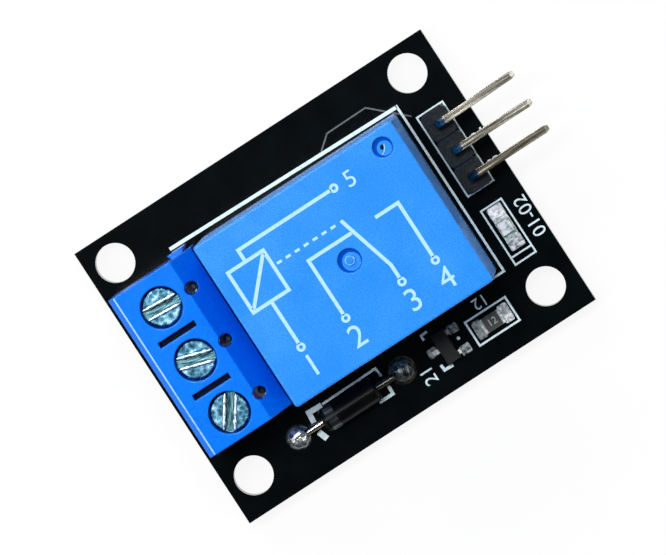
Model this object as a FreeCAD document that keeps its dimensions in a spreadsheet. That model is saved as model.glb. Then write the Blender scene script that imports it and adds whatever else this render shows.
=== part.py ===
import FreeCAD, Part
import math
import os
import re
import Sketcher

# Relay module board: one power relay, a three way screw terminal, a bent three pin header,
# a freewheel diode, a driver transistor, a resistor and a lamp on one black circuit board.
# Origin: centre of the four mounting holes on the board's underside.
# +X runs along the board towards the pin header, +Y across it, +Z up through the relay.

# Driving sizes in millimetres and degrees
driving_sizes = {
    # Circuit board
    "board_thickness": 1.6,
    "front_margin": 6.42,
    "back_margin": 4.58,
    "terminal_margin": 1.0,
    "header_margin": 1.72,
    "mount_inset_front": 3.15,
    "mount_inset_back": 2.45,
    "mount_inset_left": 2.45,
    "mount_inset_right": 2.85,
    "mount_hole_radius": 1.65,
    # Leads and solder joints
    "lead_reach": 1.5,
    "lead_gap": 0.01,
    "solder_spread": 0.45,
    "solder_height": 0.8,
    "solder_neck": 0.12,
    # Relay outline and cover
    "relay_x": 2.19,
    "relay_y": 0.57,
    "relay_length": 19.1,
    "relay_width": 15.5,
    "relay_height": 15.4,
    "cover_wall": 0.8,
    "cover_top": 0.9,
    "cover_draft": 0.2,
    "cover_corner_radius": 0.3,
    "cover_edge_radius": 0.15,
    "vent_inset_x": 1.75,
    "vent_inset_y": 1.59,
    "vent_radius": 0.85,
    "vent_depth": 0.3,
    "vent_bore_radius": 0.2,
    "gate_x": 0.61,
    "gate_y": -0.05,
    "gate_radius": 1.0,
    "gate_depth": 0.3,
    "gate_stub_radius": 0.3,
    # Relay base and pins
    "base_fit": 0.03,
    "base_foot_height": 0.3,
    "base_foot_size": 1.0,
    "base_thickness": 1.9,
    "base_corner_radius": 0.5,
    "relay_hole_radius": 0.65,
    "pin_row_inset": 1.75,
    "end_pin_inset": 2.45,
    "coil_pin_inset": 1.6,
    "coil_pin_radius": 0.35,
    "coil_pin_rise": 1.6,
    "blade_width": 1.0,
    "blade_thickness": 0.4,
    # Relay coil and magnet frame
    "yoke_thickness": 1.1,
    "yoke_pin_gap": 1.15,
    "yoke_inset": 1.75,
    "yoke_foot_margin": 2.0,
    "yoke_bend_radius": 0.3,
    "pole_radius": 3.6,
    "pole_thickness": 0.6,
    "core_share": 0.386,
    "core_spigot_share": 0.28,
    "bobbin_wall_share": 0.14,
    "bobbin_bore_gap": 0.05,
    "bobbin_foot_side_gap": 0.25,
    "bobbin_foot_front_gap": 1.1,
    "bobbin_foot_gap": 0.2,
    "flange_gap": 0.8,
    "flange_side_gap": 1.25,
    "flange_thickness": 0.8,
    "winding_rim_share": 0.088,
    "coil_headroom": 9.0,
    # Relay armature and contacts
    "armature_gap": 0.03,
    "armature_lift": 2.5,
    "armature_contact_gap": 2.3,
    "armature_width": 10.0,
    "armature_thickness": 1.1,
    "spring_thickness": 0.2,
    "spring_width": 3.2,
    "spring_back_gap": 0.12,
    "spring_leg": 6.0,
    "spring_overhang": 1.0,
    "contact_radius": 0.9,
    "contact_shank_radius": 0.5,
    "contact_upper_head": 0.45,
    "contact_lower_head": 0.5,
    "contact_rest_gap": 0.06,
    "contact_button": 0.3,
    "contact_strip_thickness": 0.4,
    "contact_strip_width": 1.6,
    # Pin header
    "header_gap": 1.44,
    "header_y": 3.09,
    "header_pitch": 2.54,
    "header_block_width": 2.3,
    "header_block_height": 2.54,
    "header_notch": 0.3,
    "header_pin_width": 0.64,
    "header_pin_fit": 0.02,
    "header_arm_height": 4.25,
    "header_pin_length": 7.45,
    "header_bend_radius": 0.45,
    "header_tip_length": 0.35,
    "header_tip_taper": 0.14,
    "header_pin_splay": 1.3,
    "header_hole_radius": 0.55,
    # Screw terminal housing
    "terminal_gap": 0.69,
    "terminal_y": 0.42,
    "terminal_pitch": 5.08,
    "terminal_shift_y": 0.24,
    "terminal_front": 3.38,
    "terminal_back": 4.37,
    "terminal_height": 10.0,
    "terminal_back_height": 6.4,
    "terminal_ridge_x": 2.57,
    "terminal_bevel": 0.5,
    "bay_front": 2.0,
    "bay_depth": 3.7,
    "bay_wall": 1.18,
    "ceiling_depth": 2.1,
    "shelf_thickness": 0.65,
    "slot_back_wall": 0.97,
    "slot_roof_wall": 1.0,
    "slot_fit": 0.05,
    "window_lip": 0.3,
    "window_sill": 1.3,
    "window_height": 3.5,
    "window_recess": 0.4,
    "window_rim": 0.35,
    "marker_length": 3.5,
    "marker_width": 0.5,
    "marker_depth": 2.0,
    "marker_shift": -0.1,
    "probe_inset": 0.55,
    "probe_radius": 0.55,
    "tongue_inset": 1.22,
    "tongue_root": 1.0,
    "tongue_tip": 1.5,
    "tongue_depth": 0.4,
    "tongue_height": 7.0,
    "groove_gap": 0.1,
    # Clamping screws, cages and bars
    "screw_head_radius": 1.65,
    "screw_head_gap": 0.1,
    "screw_head_height": 1.0,
    "screw_seat_gap": 0.05,
    "screw_head_edge": 0.15,
    "screw_radius": 1.2,
    "screw_shelf_gap": 0.15,
    "screw_thread_gap": 0.05,
    "screw_tip_bevel": 0.3,
    "screw_slot_width": 0.75,
    "screw_slot_depth": 0.6,
    "screw_turn_one": -4.0,
    "screw_turn_two": -17.5,
    "screw_turn_three": 55.5,
    "bar_height": 3.9,
    "bar_thickness": 0.7,
    "bar_width": 2.4,
    "bar_front_gap": 0.2,
    "bar_back_gap": 0.1,
    "bar_pin_width": 1.0,
    "bar_pin_thickness": 0.8,
    "screw_tip_gap": 0.05,
    "cage_floor_height": 0.6,
    "cage_floor": 0.8,
    "cage_roof": 0.9,
    "cage_roof_gap": 0.15,
    "cage_side": 0.5,
    "cage_side_gap": 0.15,
    "terminal_hole_radius": 0.75,
    # Freewheel diode
    "diode_inset": 2.94,
    "diode_gap": 1.57,
    "diode_length": 5.2,
    "diode_radius": 1.08,
    "diode_edge": 0.25,
    "diode_lift": 0.45,
    "diode_lead_pitch": 10.16,
    "diode_lead_radius": 0.36,
    "diode_bend_radius": 0.75,
    "diode_hole_radius": 0.5,
    "dome_radius": 1.1,
    "dome_height": 0.75,
    # Driver transistor
    "transistor_step": 9.17,
    "transistor_gap": 1.49,
    "transistor_length": 2.9,
    "transistor_width": 1.3,
    "transistor_height": 1.0,
    "transistor_lift": 0.1,
    "transistor_draft": 7.0,
    "transistor_lead_pitch": 1.92,
    "transistor_lead_width": 0.42,
    "transistor_lead_thickness": 0.13,
    "transistor_lead_shoulder": 0.2,
    "transistor_lead_span": 1.25,
    "transistor_foot": 0.4,
    "toe_solder_reach": 0.2,
    # Chip resistor
    "resistor_step": 4.34,
    "resistor_gap": 2.65,
    "resistor_length": 2.0,
    "resistor_width": 1.3,
    "resistor_height": 0.5,
    "resistor_cap": 0.27,
    "resistor_coat_gap": 0.03,
    "resistor_coat_height": 0.06,
    "resistor_solder_reach": 0.68,
    "resistor_solder_side": 0.18,
    # Chip lamp
    "lamp_gap": 1.88,
    "lamp_step": 7.64,
    "lamp_length": 2.0,
    "lamp_width": 1.3,
    "lamp_base_height": 0.4,
    "lamp_cap": 0.35,
    "lamp_lens_length": 1.26,
    "lamp_lens_width": 1.24,
    "lamp_lens_height": 0.6,
    "lamp_lens_draft": 8.0,
    "lamp_die_size": 0.3,
    "lamp_die_height": 0.15,
    "lamp_solder_reach": 1.0,
    "lamp_solder_side": 0.02,
    # Chip end caps and their solder
    "cap_thickness": 0.05,
    "chip_solder_rise": 0.3,
}

# Places and sizes that follow from the driving sizes
way_count = 3
derived_sizes = {
    "relay_left": "relay_x - relay_length / 2",
    "relay_right": "relay_x + relay_length / 2",
    "relay_front": "relay_y - relay_width / 2",
    "relay_back": "relay_y + relay_width / 2",
    "terminal_x": "relay_left - terminal_gap - terminal_back",
    "header_x": "relay_right + header_gap + header_block_width / 2",
    "board_left": "terminal_x - terminal_front - terminal_margin",
    "board_right": "header_x + header_block_width / 2 + header_margin",
    "board_front": "relay_front - front_margin",
    "board_back": "relay_back + back_margin",
    "vent_x": "relay_length / 2 - vent_inset_x",
    "vent_y": "relay_width / 2 - vent_inset_y",
    "common_pin_x": "relay_length / 2 - end_pin_inset",
    "contact_pin_x": "end_pin_inset - relay_length / 2",
    "contact_pin_y": "relay_width / 2 - pin_row_inset",
    "coil_pin_y": "relay_width / 2 - pin_row_inset",
    "yoke_back_x": "relay_length / 2 - yoke_inset",
    "coil_back": "yoke_back_x - yoke_thickness",
    "coil_front": "contact_pin_x + contact_strip_width / 2",
    "coil_x": "(coil_back + coil_front) / 2",
    "coil_room": "(coil_back - coil_front) / 2 - flange_gap",
    "coil_side_room": "relay_width / 2 - cover_wall - flange_side_gap",
    "coil_pin_x": "coil_back - coil_pin_inset",
    "yoke_front": "coil_x - core_spigot_radius - yoke_foot_margin",
    "bobbin_flange_radius": "min(coil_room; coil_side_room)",
    "bobbin_wall": "bobbin_flange_radius * bobbin_wall_share",
    "core_radius": "bobbin_flange_radius * core_share",
    "core_spigot_radius": "bobbin_flange_radius * core_spigot_share",
    "winding_rim": "bobbin_flange_radius * winding_rim_share",
    "yoke_width": "2 * (coil_pin_y - coil_pin_radius - yoke_pin_gap)",
    "bobbin_foot_width": "relay_width - 2 * cover_wall - 2 * bobbin_foot_side_gap",
    "winding_radius": "bobbin_flange_radius - winding_rim",
    "winding_height": "relay_height - cover_top - coil_headroom",
    "armature_length": "yoke_back_x - contact_pin_x - armature_contact_gap",
    "terminal_length": f"{way_count} * terminal_pitch",
    "bay_width": "terminal_pitch - bay_wall",
    "bay_ceiling": "terminal_height - ceiling_depth",
    "window_width": "bay_width - 2 * window_lip",
    "slot_back_x": "terminal_back - slot_back_wall",
    "slot_roof": "terminal_back_height - slot_roof_wall",
    "probe_x": "slot_back_x - probe_inset",
    "tongue_x": "terminal_back - tongue_inset",
    "bar_front": "bay_front - bar_front_gap",
    "diode_x": "relay_left + diode_inset",
    "diode_y": "relay_front - diode_gap - diode_radius",
    "transistor_x": "diode_x + transistor_step",
    "transistor_y": "relay_front - transistor_gap - transistor_length / 2",
    "resistor_x": "transistor_x + resistor_step",
    "resistor_y": "relay_front - resistor_gap - resistor_width / 2",
    "lamp_x": "relay_right + lamp_gap + lamp_width / 2",
    "lamp_y": "header_y - lamp_step",
}

# Number of flat sides that stand for a round outline, from thin leads to wide posts
lead_sides = 12
post_sides = 16
wide_sides = 24

doc = FreeCAD.newDocument("relay_module_board")
sheet = doc.addObject("Spreadsheet::Sheet", "Sizes")
cells = {name: str(number) for name, number in driving_sizes.items()}
cells.update({name: "=" + formula for name, formula in derived_sizes.items()})
for row, name in enumerate(cells, start=1):
    sheet.set(f"A{row}", name)
    sheet.setAlias(f"B{row}", name)
for row, content in enumerate(cells.values(), start=1):
    sheet.set(f"B{row}", content)
doc.recompute()

sub_parts = []
ways = range(way_count)


def sheet_name(word):
    """A size's name as the sheet knows it; other words stay as they are."""
    return "Sizes." + word.group() if word.group() in cells else word.group()


def link(obj, prop, text):
    """Bind a property to a formula of the named sizes."""
    obj.setExpression(prop, re.sub(r"[a-z][a-z_]*", sheet_name, str(text)))


def keep(obj, label):
    """Name an object as one sub-part of the board."""
    obj.Label = label
    sub_parts.append(obj)
    return obj


def place(obj, x, y, z):
    """Bind an object's place to formulas."""
    link(obj, "Placement.Base.x", x)
    link(obj, "Placement.Base.y", y)
    link(obj, "Placement.Base.z", z)


def turn(obj, axis, angle):
    """Bind an object's turn about one axis to a formula."""
    obj.Placement.Rotation = FreeCAD.Rotation(FreeCAD.Vector(*axis), 1.0)
    link(obj, "Placement.Rotation.Angle", angle)


def box(name, low, size):
    """A block from its lowest corner and its three sides."""
    block = doc.addObject("Part::Box", name)
    for prop, formula in zip(("Length", "Width", "Height"), size):
        link(block, prop, formula)
    place(block, *low)
    return block


def prism(name, foot, radius, height, sides):
    """An upright post with flat sides, on the centre of its lower end."""
    post = doc.addObject("Part::Prism", name)
    post.Polygon = sides
    link(post, "Circumradius", radius)
    link(post, "Height", height)
    place(post, *foot)
    return post


def ringed(name, x, y, rings, sides):
    """A solid with flat sides through rings, each one a height and a radius, lowest first."""
    sections = []
    for index, (z, radius) in enumerate(rings, 1):
        ring = doc.addObject("Part::RegularPolygon", f"{name}_{index}")
        ring.Polygon = sides
        link(ring, "Circumradius", radius)
        place(ring, x, y, z)
        sections.append(ring)
    solid = doc.addObject("Part::Loft", name)
    solid.Sections = sections
    solid.Solid = True
    solid.Ruled = True
    return solid


def cut(name, base, tool):
    """One object with another taken out of it."""
    result = doc.addObject("Part::Cut", name)
    result.Base = base
    result.Tool = tool
    return result


def drill(name, base, posts):
    """One object with several separate posts taken out of it."""
    bits = doc.addObject("Part::Compound", name + "_bits")
    bits.Links = posts
    return cut(name, base, bits)


def fuse(name, pieces):
    """Several touching pieces as one solid."""
    whole = doc.addObject("Part::MultiFuse", name)
    whole.Shapes = pieces
    return whole


def group(name, members):
    """Separate solids that are one sub-part."""
    result = doc.addObject("Part::Compound", name)
    result.Links = members
    return keep(result, name)


def new_body(name, at=("0", "0", "0")):
    """A body whose own frame stands at a place on the board."""
    body = doc.addObject("PartDesign::Body", name)
    place(body, *at)
    return body


def new_sketch(body, name, role, offset="0"):
    """A sketch on one of the body's own planes, moved along that plane's normal."""
    sketch = body.newObject("Sketcher::SketchObject", name)
    plane = next(item for item in body.Origin.OriginFeatures if item.Role == role)
    sketch.AttachmentSupport = (plane, [""])
    sketch.MapMode = "FlatFace"
    link(sketch, "AttachmentOffset.Base.z", offset)
    return sketch


def fix_point(sketch, curve, end, x, y):
    """Dimension one point of a sketch from the sketch's origin."""
    for kind, formula in (("DistanceX", x), ("DistanceY", y)):
        index = sketch.addConstraint(Sketcher.Constraint(kind, -1, 1, curve, end, 1.0))
        link(sketch, f"Constraints[{index}]", formula)


def outline(sketch, points):
    """A closed outline of straight lines through dimensioned points."""
    count = len(points)
    first = sketch.GeometryCount
    for index in range(count):
        start = FreeCAD.Vector(index, index * index, 0)
        after = (index + 1) % count
        sketch.addGeometry(Part.LineSegment(start, FreeCAD.Vector(after, after * after, 0)))
    for index, (x, y) in enumerate(points):
        joined = first + (index - 1) % count
        sketch.addConstraint(Sketcher.Constraint("Coincident", joined, 2, first + index, 1))
        fix_point(sketch, first + index, 1, x, y)


def rectangle(sketch, low, high):
    """A closed rectangle between two dimensioned corners."""
    outline(sketch, [low, (high[0], low[1]), high, (low[0], high[1])])


def polygon(sketch, x, y, radius, sides):
    """A closed even outline that stands for a circle."""
    angles = [360.0 * index / sides for index in range(sides)]
    outline(
        sketch,
        [(f"{x} + {radius} * cos({a})", f"{y} + {radius} * sin({a})") for a in angles],
    )


def circle(sketch, x, y, radius):
    """A dimensioned circle."""
    ring = Part.Circle(FreeCAD.Vector(0, 0, 0), FreeCAD.Vector(0, 0, 1), 1.0)
    curve = sketch.addGeometry(ring)
    index = sketch.addConstraint(Sketcher.Constraint("Radius", curve, 1.0))
    link(sketch, f"Constraints[{index}]", radius)
    fix_point(sketch, curve, 3, x, y)


def pad(body, sketch, length, side="One side", backwards=False, taper=None):
    """Add the sketch's area, pulled along its normal."""
    feature = body.newObject("PartDesign::Pad", sketch.Name + "_pad")
    feature.Profile = sketch
    feature.SideType = side
    feature.Reversed = backwards
    link(feature, "Length", length)
    if taper is not None:
        link(feature, "TaperAngle", taper)
    return feature


def pocket(body, sketch, depth, upwards=False):
    """Take the sketch's area out, pushed against its normal, or along it where upwards is set."""
    feature = body.newObject("PartDesign::Pocket", sketch.Name + "_pocket")
    feature.Profile = sketch
    feature.Reversed = upwards
    link(feature, "Length", depth)
    return feature


def revolve(body, sketch, axis):
    """Turn the sketch's area once round one of its own axes."""
    feature = body.newObject("PartDesign::Revolution", sketch.Name + "_turned")
    feature.Profile = sketch
    feature.ReferenceAxis = (sketch, [axis])
    feature.Angle = 360.0
    return feature


def dress(body, kind, name, size_property, size, wanted):
    """Round or bevel the edges of the body that the wanted test picks out."""
    doc.recompute()
    tip = body.Tip
    names = [f"Edge{index}" for index, edge in enumerate(tip.Shape.Edges, 1) if wanted(edge)]
    feature = body.newObject(kind, name)
    feature.Base = (tip, names)
    link(feature, size_property, size)
    return feature


def fillet(body, name, radius, wanted):
    return dress(body, "PartDesign::Fillet", name, "Radius", radius, wanted)


def runs_along(edge, axis):
    """True for a straight edge along one axis, even where a draft leans it a little."""
    if len(edge.Vertexes) != 2:
        return False
    chord = edge.Vertexes[1].Point - edge.Vertexes[0].Point
    return abs(chord[axis]) > 0.99 * edge.Length


def lies_at(edge, axis, value):
    """True for an edge that lies wholly at one coordinate."""
    span = edge.BoundBox
    low = (span.XMin, span.YMin, span.ZMin)[axis]
    high = (span.XMax, span.YMax, span.ZMax)[axis]
    return abs(low - value) < 1e-4 and abs(high - value) < 1e-4


def size_of(name):
    """The present number of one named size."""
    return float(sheet.get(name))


def way_offset(way, pitch):
    """A formula for one way's place along the row, first way at the +Y end."""
    return f"{1 - way} * {pitch}"


# Places that several sub-parts share
board_top = "board_thickness"
lead_bottom = "-board_thickness - lead_reach"
relay_frame = ("relay_x", "relay_y", board_top)
terminal_frame = ("terminal_x", "terminal_y", board_top)
header_frame = ("header_x", "header_y", board_top)
diode_axis_height = "(diode_lift + diode_radius)"
diode_frame = ("diode_x", "diode_y", f"{board_top} + {diode_axis_height}")
base_top = "(base_foot_height + base_thickness)"
yoke_foot_top = f"({base_top} + yoke_thickness)"
winding_bottom = f"({yoke_foot_top} + flange_thickness)"
winding_top = f"({winding_bottom} + winding_height)"
pole_top = f"({winding_top} + flange_thickness + pole_thickness)"
hinge_height = f"({pole_top} + armature_gap)"
contact_arm = "(yoke_back_x - contact_pin_x)"
bobbin_tube_radius = "(core_radius + bobbin_bore_gap + bobbin_wall)"
screw_shelf = "(bay_ceiling + shelf_thickness)"
bar_top = "(bar_height + bar_thickness)"
cage_height = f"({bar_top} + cage_roof_gap + cage_roof - cage_floor_height)"

# Every lead through the board: place on the board, half sizes or radius, and hole radius
relay_leads = [
    ("relay_x + common_pin_x", "relay_y", ("blade_thickness", "blade_width")),
    ("relay_x + coil_pin_x", "relay_y + coil_pin_y", "coil_pin_radius"),
    ("relay_x + coil_pin_x", "relay_y - coil_pin_y", "coil_pin_radius"),
    ("relay_x + contact_pin_x", "relay_y + contact_pin_y", ("blade_width", "blade_thickness")),
    ("relay_x + contact_pin_x", "relay_y - contact_pin_y", ("blade_width", "blade_thickness")),
]
bar_pin_x = "(slot_back_x - bar_back_gap - bar_pin_thickness / 2)"
terminal_leads = [
    (
        f"terminal_x + {bar_pin_x}",
        f"terminal_y + {way_offset(way, 'terminal_pitch')}",
        ("bar_pin_thickness", "bar_pin_width"),
    )
    for way in ways
]
header_leads = [
    (
        "header_x",
        f"header_y + {way_offset(way, 'header_pitch')}",
        ("(header_pin_width + header_pin_fit)", "(header_pin_width + header_pin_fit)"),
    )
    for way in ways
]
diode_leads = [
    (f"diode_x + {side} * diode_lead_pitch / 2", "diode_y", "diode_lead_radius")
    for side in (-1, 1)
]


# Circuit board

def circuit_board():
    """One glass fibre board with four mounting holes and a plated hole for each lead."""
    body = new_body("board_plate")
    plate = new_sketch(body, "board_outline", "XY_Plane")
    rectangle(plate, ("board_left", "board_front"), ("board_right", "board_back"))
    pad(body, plate, "board_thickness")
    mounts = new_sketch(body, "mounting_holes", "XY_Plane")
    for x in ("board_left + mount_inset_left", "board_right - mount_inset_right"):
        for y in ("board_front + mount_inset_front", "board_back - mount_inset_back"):
            circle(mounts, x, y, "mount_hole_radius")
    pocket(body, mounts, "board_thickness", upwards=True)
    holes = []
    for leads, radius in (
        (relay_leads, "relay_hole_radius"),
        (terminal_leads, "terminal_hole_radius"),
        (header_leads, "header_hole_radius"),
        (diode_leads, "diode_hole_radius"),
    ):
        for x, y, _ in leads:
            name = f"lead_hole_{len(holes) + 1}"
            holes.append(prism(name, (x, y, "0"), radius, "board_thickness", lead_sides))
    keep(drill("circuit_board", body, holes), "circuit_board")


def lead_space(name, lead, bottom, height):
    """The room that one lead takes up in its solder, with the gap all round."""
    x, y, section = lead
    if isinstance(section, str):
        return prism(name, (x, y, bottom), f"{section} + lead_gap", height, lead_sides)
    length, width = section
    low = (f"{x} - {length} / 2 - lead_gap", f"{y} - {width} / 2 - lead_gap", bottom)
    return box(name, low, (f"{length} + 2 * lead_gap", f"{width} + 2 * lead_gap", height))


def solder_joint(name, lead, hole_radius):
    """Solder that fills one plated hole and tapers down round the lead below the board."""
    x, y, section = lead
    neck = section if isinstance(section, str) else f"({section[0]} + {section[1]}) / 2"
    plug = prism(name + "_plug", (x, y, "0"), hole_radius, "board_thickness", lead_sides)
    rings = [("-solder_height", f"{neck} + solder_neck"), ("0", f"{hole_radius} + solder_spread")]
    whole = fuse(name + "_whole", [plug, ringed(name + "_cone", x, y, rings, lead_sides)])
    space = lead_space(name + "_space", lead, "-lead_reach", "board_thickness + 2 * lead_reach")
    return cut(name, whole, space)


def solder_dome(name, lead):
    """A rounded solder cap round one lead on the top side of the board."""
    x, y, _ = lead
    steps = ((0.0, 1.0), (0.45, 0.88), (0.8, 0.65), (1.0, 0.42))
    rings = [
        (f"{board_top} + {rise} * dome_height", f"{share} * dome_radius") for rise, share in steps
    ]
    cap = ringed(name + "_cap", x, y, rings, post_sides)
    return cut(name, cap, lead_space(name + "_space", lead, board_top, "2 * dome_height"))


def lead_solder():
    """Every soldered through hole, one node for each device."""
    for name, leads, radius in (
        ("relay_solder", relay_leads, "relay_hole_radius"),
        ("terminal_solder", terminal_leads, "terminal_hole_radius"),
        ("header_solder", header_leads, "header_hole_radius"),
        ("diode_solder", diode_leads, "diode_hole_radius"),
    ):
        joints = [
            solder_joint(f"{name}_{index}", lead, radius)
            for index, lead in enumerate(leads, 1)
        ]
        if leads is diode_leads:
            joints += [
                solder_dome(f"{name}_dome_{index}", lead)
                for index, lead in enumerate(leads, 1)
            ]
        group(name, joints)


# Relay

def relay_cover():
    """A moulded lid: drafted sides, rounded edges, a pierced vent and a gate mark on top."""
    body = new_body("relay_cover", relay_frame)
    shell = new_sketch(body, "cover_outline", "XY_Plane")
    rectangle(shell, ("-relay_length / 2", "-relay_width / 2"), ("relay_length / 2", "relay_width / 2"))
    pad(body, shell, "relay_height", taper="-cover_draft")
    fillet(body, "cover_corners", "cover_corner_radius", lambda edge: runs_along(edge, 2))
    top = size_of("relay_height")
    fillet(body, "cover_top_edge", "cover_edge_radius", lambda edge: lies_at(edge, 2, top))
    inside = new_sketch(body, "cover_inside", "XY_Plane")
    rectangle(
        inside,
        ("cover_wall - relay_length / 2", "cover_wall - relay_width / 2"),
        ("relay_length / 2 - cover_wall", "relay_width / 2 - cover_wall"),
    )
    pocket(body, inside, "relay_height - cover_top", upwards=True)
    for name, x, y, radius, depth in (
        ("vent_dimple", "vent_x", "vent_y", "vent_radius", "vent_depth"),
        ("vent_bore", "vent_x", "vent_y", "vent_bore_radius", "cover_top"),
        ("gate_mark", "gate_x", "gate_y", "gate_radius", "gate_depth"),
    ):
        mark = new_sketch(body, name, "XY_Plane", "relay_height")
        circle(mark, x, y, radius)
        pocket(body, mark, depth)
    stub = new_sketch(body, "gate_stub", "XY_Plane", "relay_height - gate_depth")
    circle(stub, "gate_x", "gate_y", "gate_stub_radius")
    pad(body, stub, "gate_depth")
    keep(body, "relay_cover")


def relay_base():
    """The plate that closes the cover and carries the pins, on four small feet."""
    body = new_body("base_plate", relay_frame)
    half_length = "(relay_length / 2 - cover_wall - base_fit)"
    half_width = "(relay_width / 2 - cover_wall - base_fit)"
    plate = new_sketch(body, "base_outline", "XY_Plane", "base_foot_height")
    rectangle(plate, (f"-{half_length}", f"-{half_width}"), (half_length, half_width))
    pad(body, plate, "base_thickness")
    slots = new_sketch(body, "base_slots", "XY_Plane", base_top)
    common_low = "common_pin_x - blade_thickness / 2 - lead_gap"
    common_high = "common_pin_x + blade_thickness / 2 + lead_gap"
    blade_half = "(blade_width / 2 + lead_gap)"
    rectangle(slots, (common_low, f"-{blade_half}"), (common_high, blade_half))
    for side in (-1, 1):
        across = "(blade_thickness / 2 + lead_gap)"
        rectangle(
            slots,
            (f"contact_pin_x - {blade_half}", f"{side} * contact_pin_y - {across}"),
            (f"contact_pin_x + {blade_half}", f"{side} * contact_pin_y + {across}"),
        )
    pocket(body, slots, "base_thickness")
    feet = new_sketch(body, "base_feet", "XY_Plane")
    for x_side in (-1, 1):
        for y_side in (-1, 1):
            outer = (f"{x_side} * {half_length}", f"{y_side} * {half_width}")
            inner = (
                f"{x_side} * ({half_length} - base_foot_size)",
                f"{y_side} * ({half_width} - base_foot_size)",
            )
            rectangle(feet, inner, outer)
    pad(body, feet, "base_foot_height")
    fillet(body, "base_corners", "base_corner_radius", base_corner_edge)
    holes = coil_pin_holes("base", f"{board_top} + base_foot_height", "base_thickness")
    keep(drill("relay_base", body, holes), "relay_base")


def coil_pin_holes(name, bottom, height):
    """The room for both coil pins through one piece."""
    return [
        prism(
            f"{name}_pin_hole_{index}",
            ("relay_x + coil_pin_x", f"relay_y + {side} * coil_pin_y", bottom),
            "coil_pin_radius + lead_gap",
            height,
            lead_sides,
        )
        for index, side in enumerate((1, -1), 1)
    ]


def base_corner_edge(edge):
    """True for the four outer corners of the base."""
    reach = size_of("relay_length") / 2 - size_of("cover_wall") - size_of("base_fit")
    side = size_of("relay_width") / 2 - size_of("cover_wall") - size_of("base_fit")
    if not runs_along(edge, 2):
        return False
    middle = edge.CenterOfMass
    return abs(abs(middle.x) - reach) < 1e-4 and abs(abs(middle.y) - side) < 1e-4


def relay_magnet():
    """Yoke, core, bobbin and winding: the parts of the coil that stay still."""
    yoke = new_body("yoke_strip", relay_frame)
    profile = new_sketch(yoke, "yoke_profile", "XZ_Plane")
    outline(
        profile,
        [
            ("yoke_front", base_top),
            ("yoke_back_x", base_top),
            ("yoke_back_x", pole_top),
            ("coil_back", pole_top),
            ("coil_back", yoke_foot_top),
            ("yoke_front", yoke_foot_top),
        ],
    )
    pad(yoke, profile, "yoke_width", side="Symmetric")
    back = size_of("yoke_back_x")
    foot = size_of("base_foot_height") + size_of("base_thickness")
    fillet(
        yoke,
        "yoke_bend",
        "yoke_bend_radius",
        lambda edge: lies_at(edge, 0, back) and lies_at(edge, 2, foot),
    )
    hole = coil_post("yoke_hole", "core_spigot_radius", base_top, yoke_foot_top)
    keep(drill("relay_yoke", yoke, [hole]), "relay_yoke")

    pole_bottom = f"({pole_top} - pole_thickness)"
    core = fuse(
        "relay_core",
        [
            coil_post("core_spigot", "core_spigot_radius", base_top, yoke_foot_top),
            coil_post("core_barrel", "core_radius", yoke_foot_top, pole_bottom),
            coil_post("core_pole", "pole_radius", pole_bottom, pole_top),
        ],
    )
    keep(core, "relay_core")

    flange_top = f"({winding_top} + flange_thickness)"
    foot_plate = box(
        "bobbin_foot",
        (
            "relay_x + coil_front + bobbin_foot_front_gap",
            "relay_y - bobbin_foot_width / 2",
            f"{board_top} + {yoke_foot_top}",
        ),
        (
            "coil_back - bobbin_foot_gap - coil_front - bobbin_foot_front_gap",
            "bobbin_foot_width",
            "flange_thickness",
        ),
    )
    tube = coil_post("bobbin_tube", bobbin_tube_radius, winding_bottom, winding_top)
    flange = coil_post("bobbin_flange", "bobbin_flange_radius", winding_top, flange_top)
    bore = coil_post("bobbin_bore", "core_radius + bobbin_bore_gap", yoke_foot_top, flange_top)
    holes = coil_pin_holes("bobbin", f"{board_top} + {yoke_foot_top}", "flange_thickness")
    whole = fuse("bobbin_whole", [foot_plate, tube, flange])
    keep(drill("relay_bobbin", whole, [bore, *holes]), "relay_bobbin")

    turns = coil_post("winding_outside", "winding_radius", winding_bottom, winding_top)
    inside = coil_post("winding_inside", bobbin_tube_radius, winding_bottom, winding_top)
    keep(cut("relay_winding", turns, inside), "relay_winding")


def coil_post(name, radius, bottom, top):
    """An upright post on the coil's axis, between two heights over the board."""
    foot = ("relay_x + coil_x", "relay_y", f"{board_top} + {bottom}")
    return prism(name, foot, radius, f"{top} - {bottom}", wide_sides)


def relay_pins():
    """Two round coil pins and the flat common pin."""
    for index, side in enumerate((1, -1), 1):
        foot = ("relay_x + coil_pin_x", f"relay_y + {side} * coil_pin_y", "-lead_reach")
        height = f"lead_reach + board_thickness + {winding_bottom} + coil_pin_rise"
        pin = prism(f"coil_pin_{index}", foot, "coil_pin_radius", height, lead_sides)
        keep(pin, f"coil_pin_{index}")
    common = box(
        "common_pin",
        ("relay_x + common_pin_x - blade_thickness / 2", "relay_y - blade_width / 2", "-lead_reach"),
        ("blade_thickness", "blade_width", f"lead_reach + board_thickness + {base_top}"),
    )
    keep(common, "common_pin")


def lean(obj, along="0"):
    """Stand an object in the armature's own frame, which leans up from the yoke's top edge."""
    place(
        obj,
        f"relay_x + yoke_back_x - {along} * cos(armature_lift)",
        "relay_y",
        f"{board_top} + {hinge_height} + {along} * sin(armature_lift)",
    )
    turn(obj, (0, 1, 0), "armature_lift")
    return obj


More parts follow.
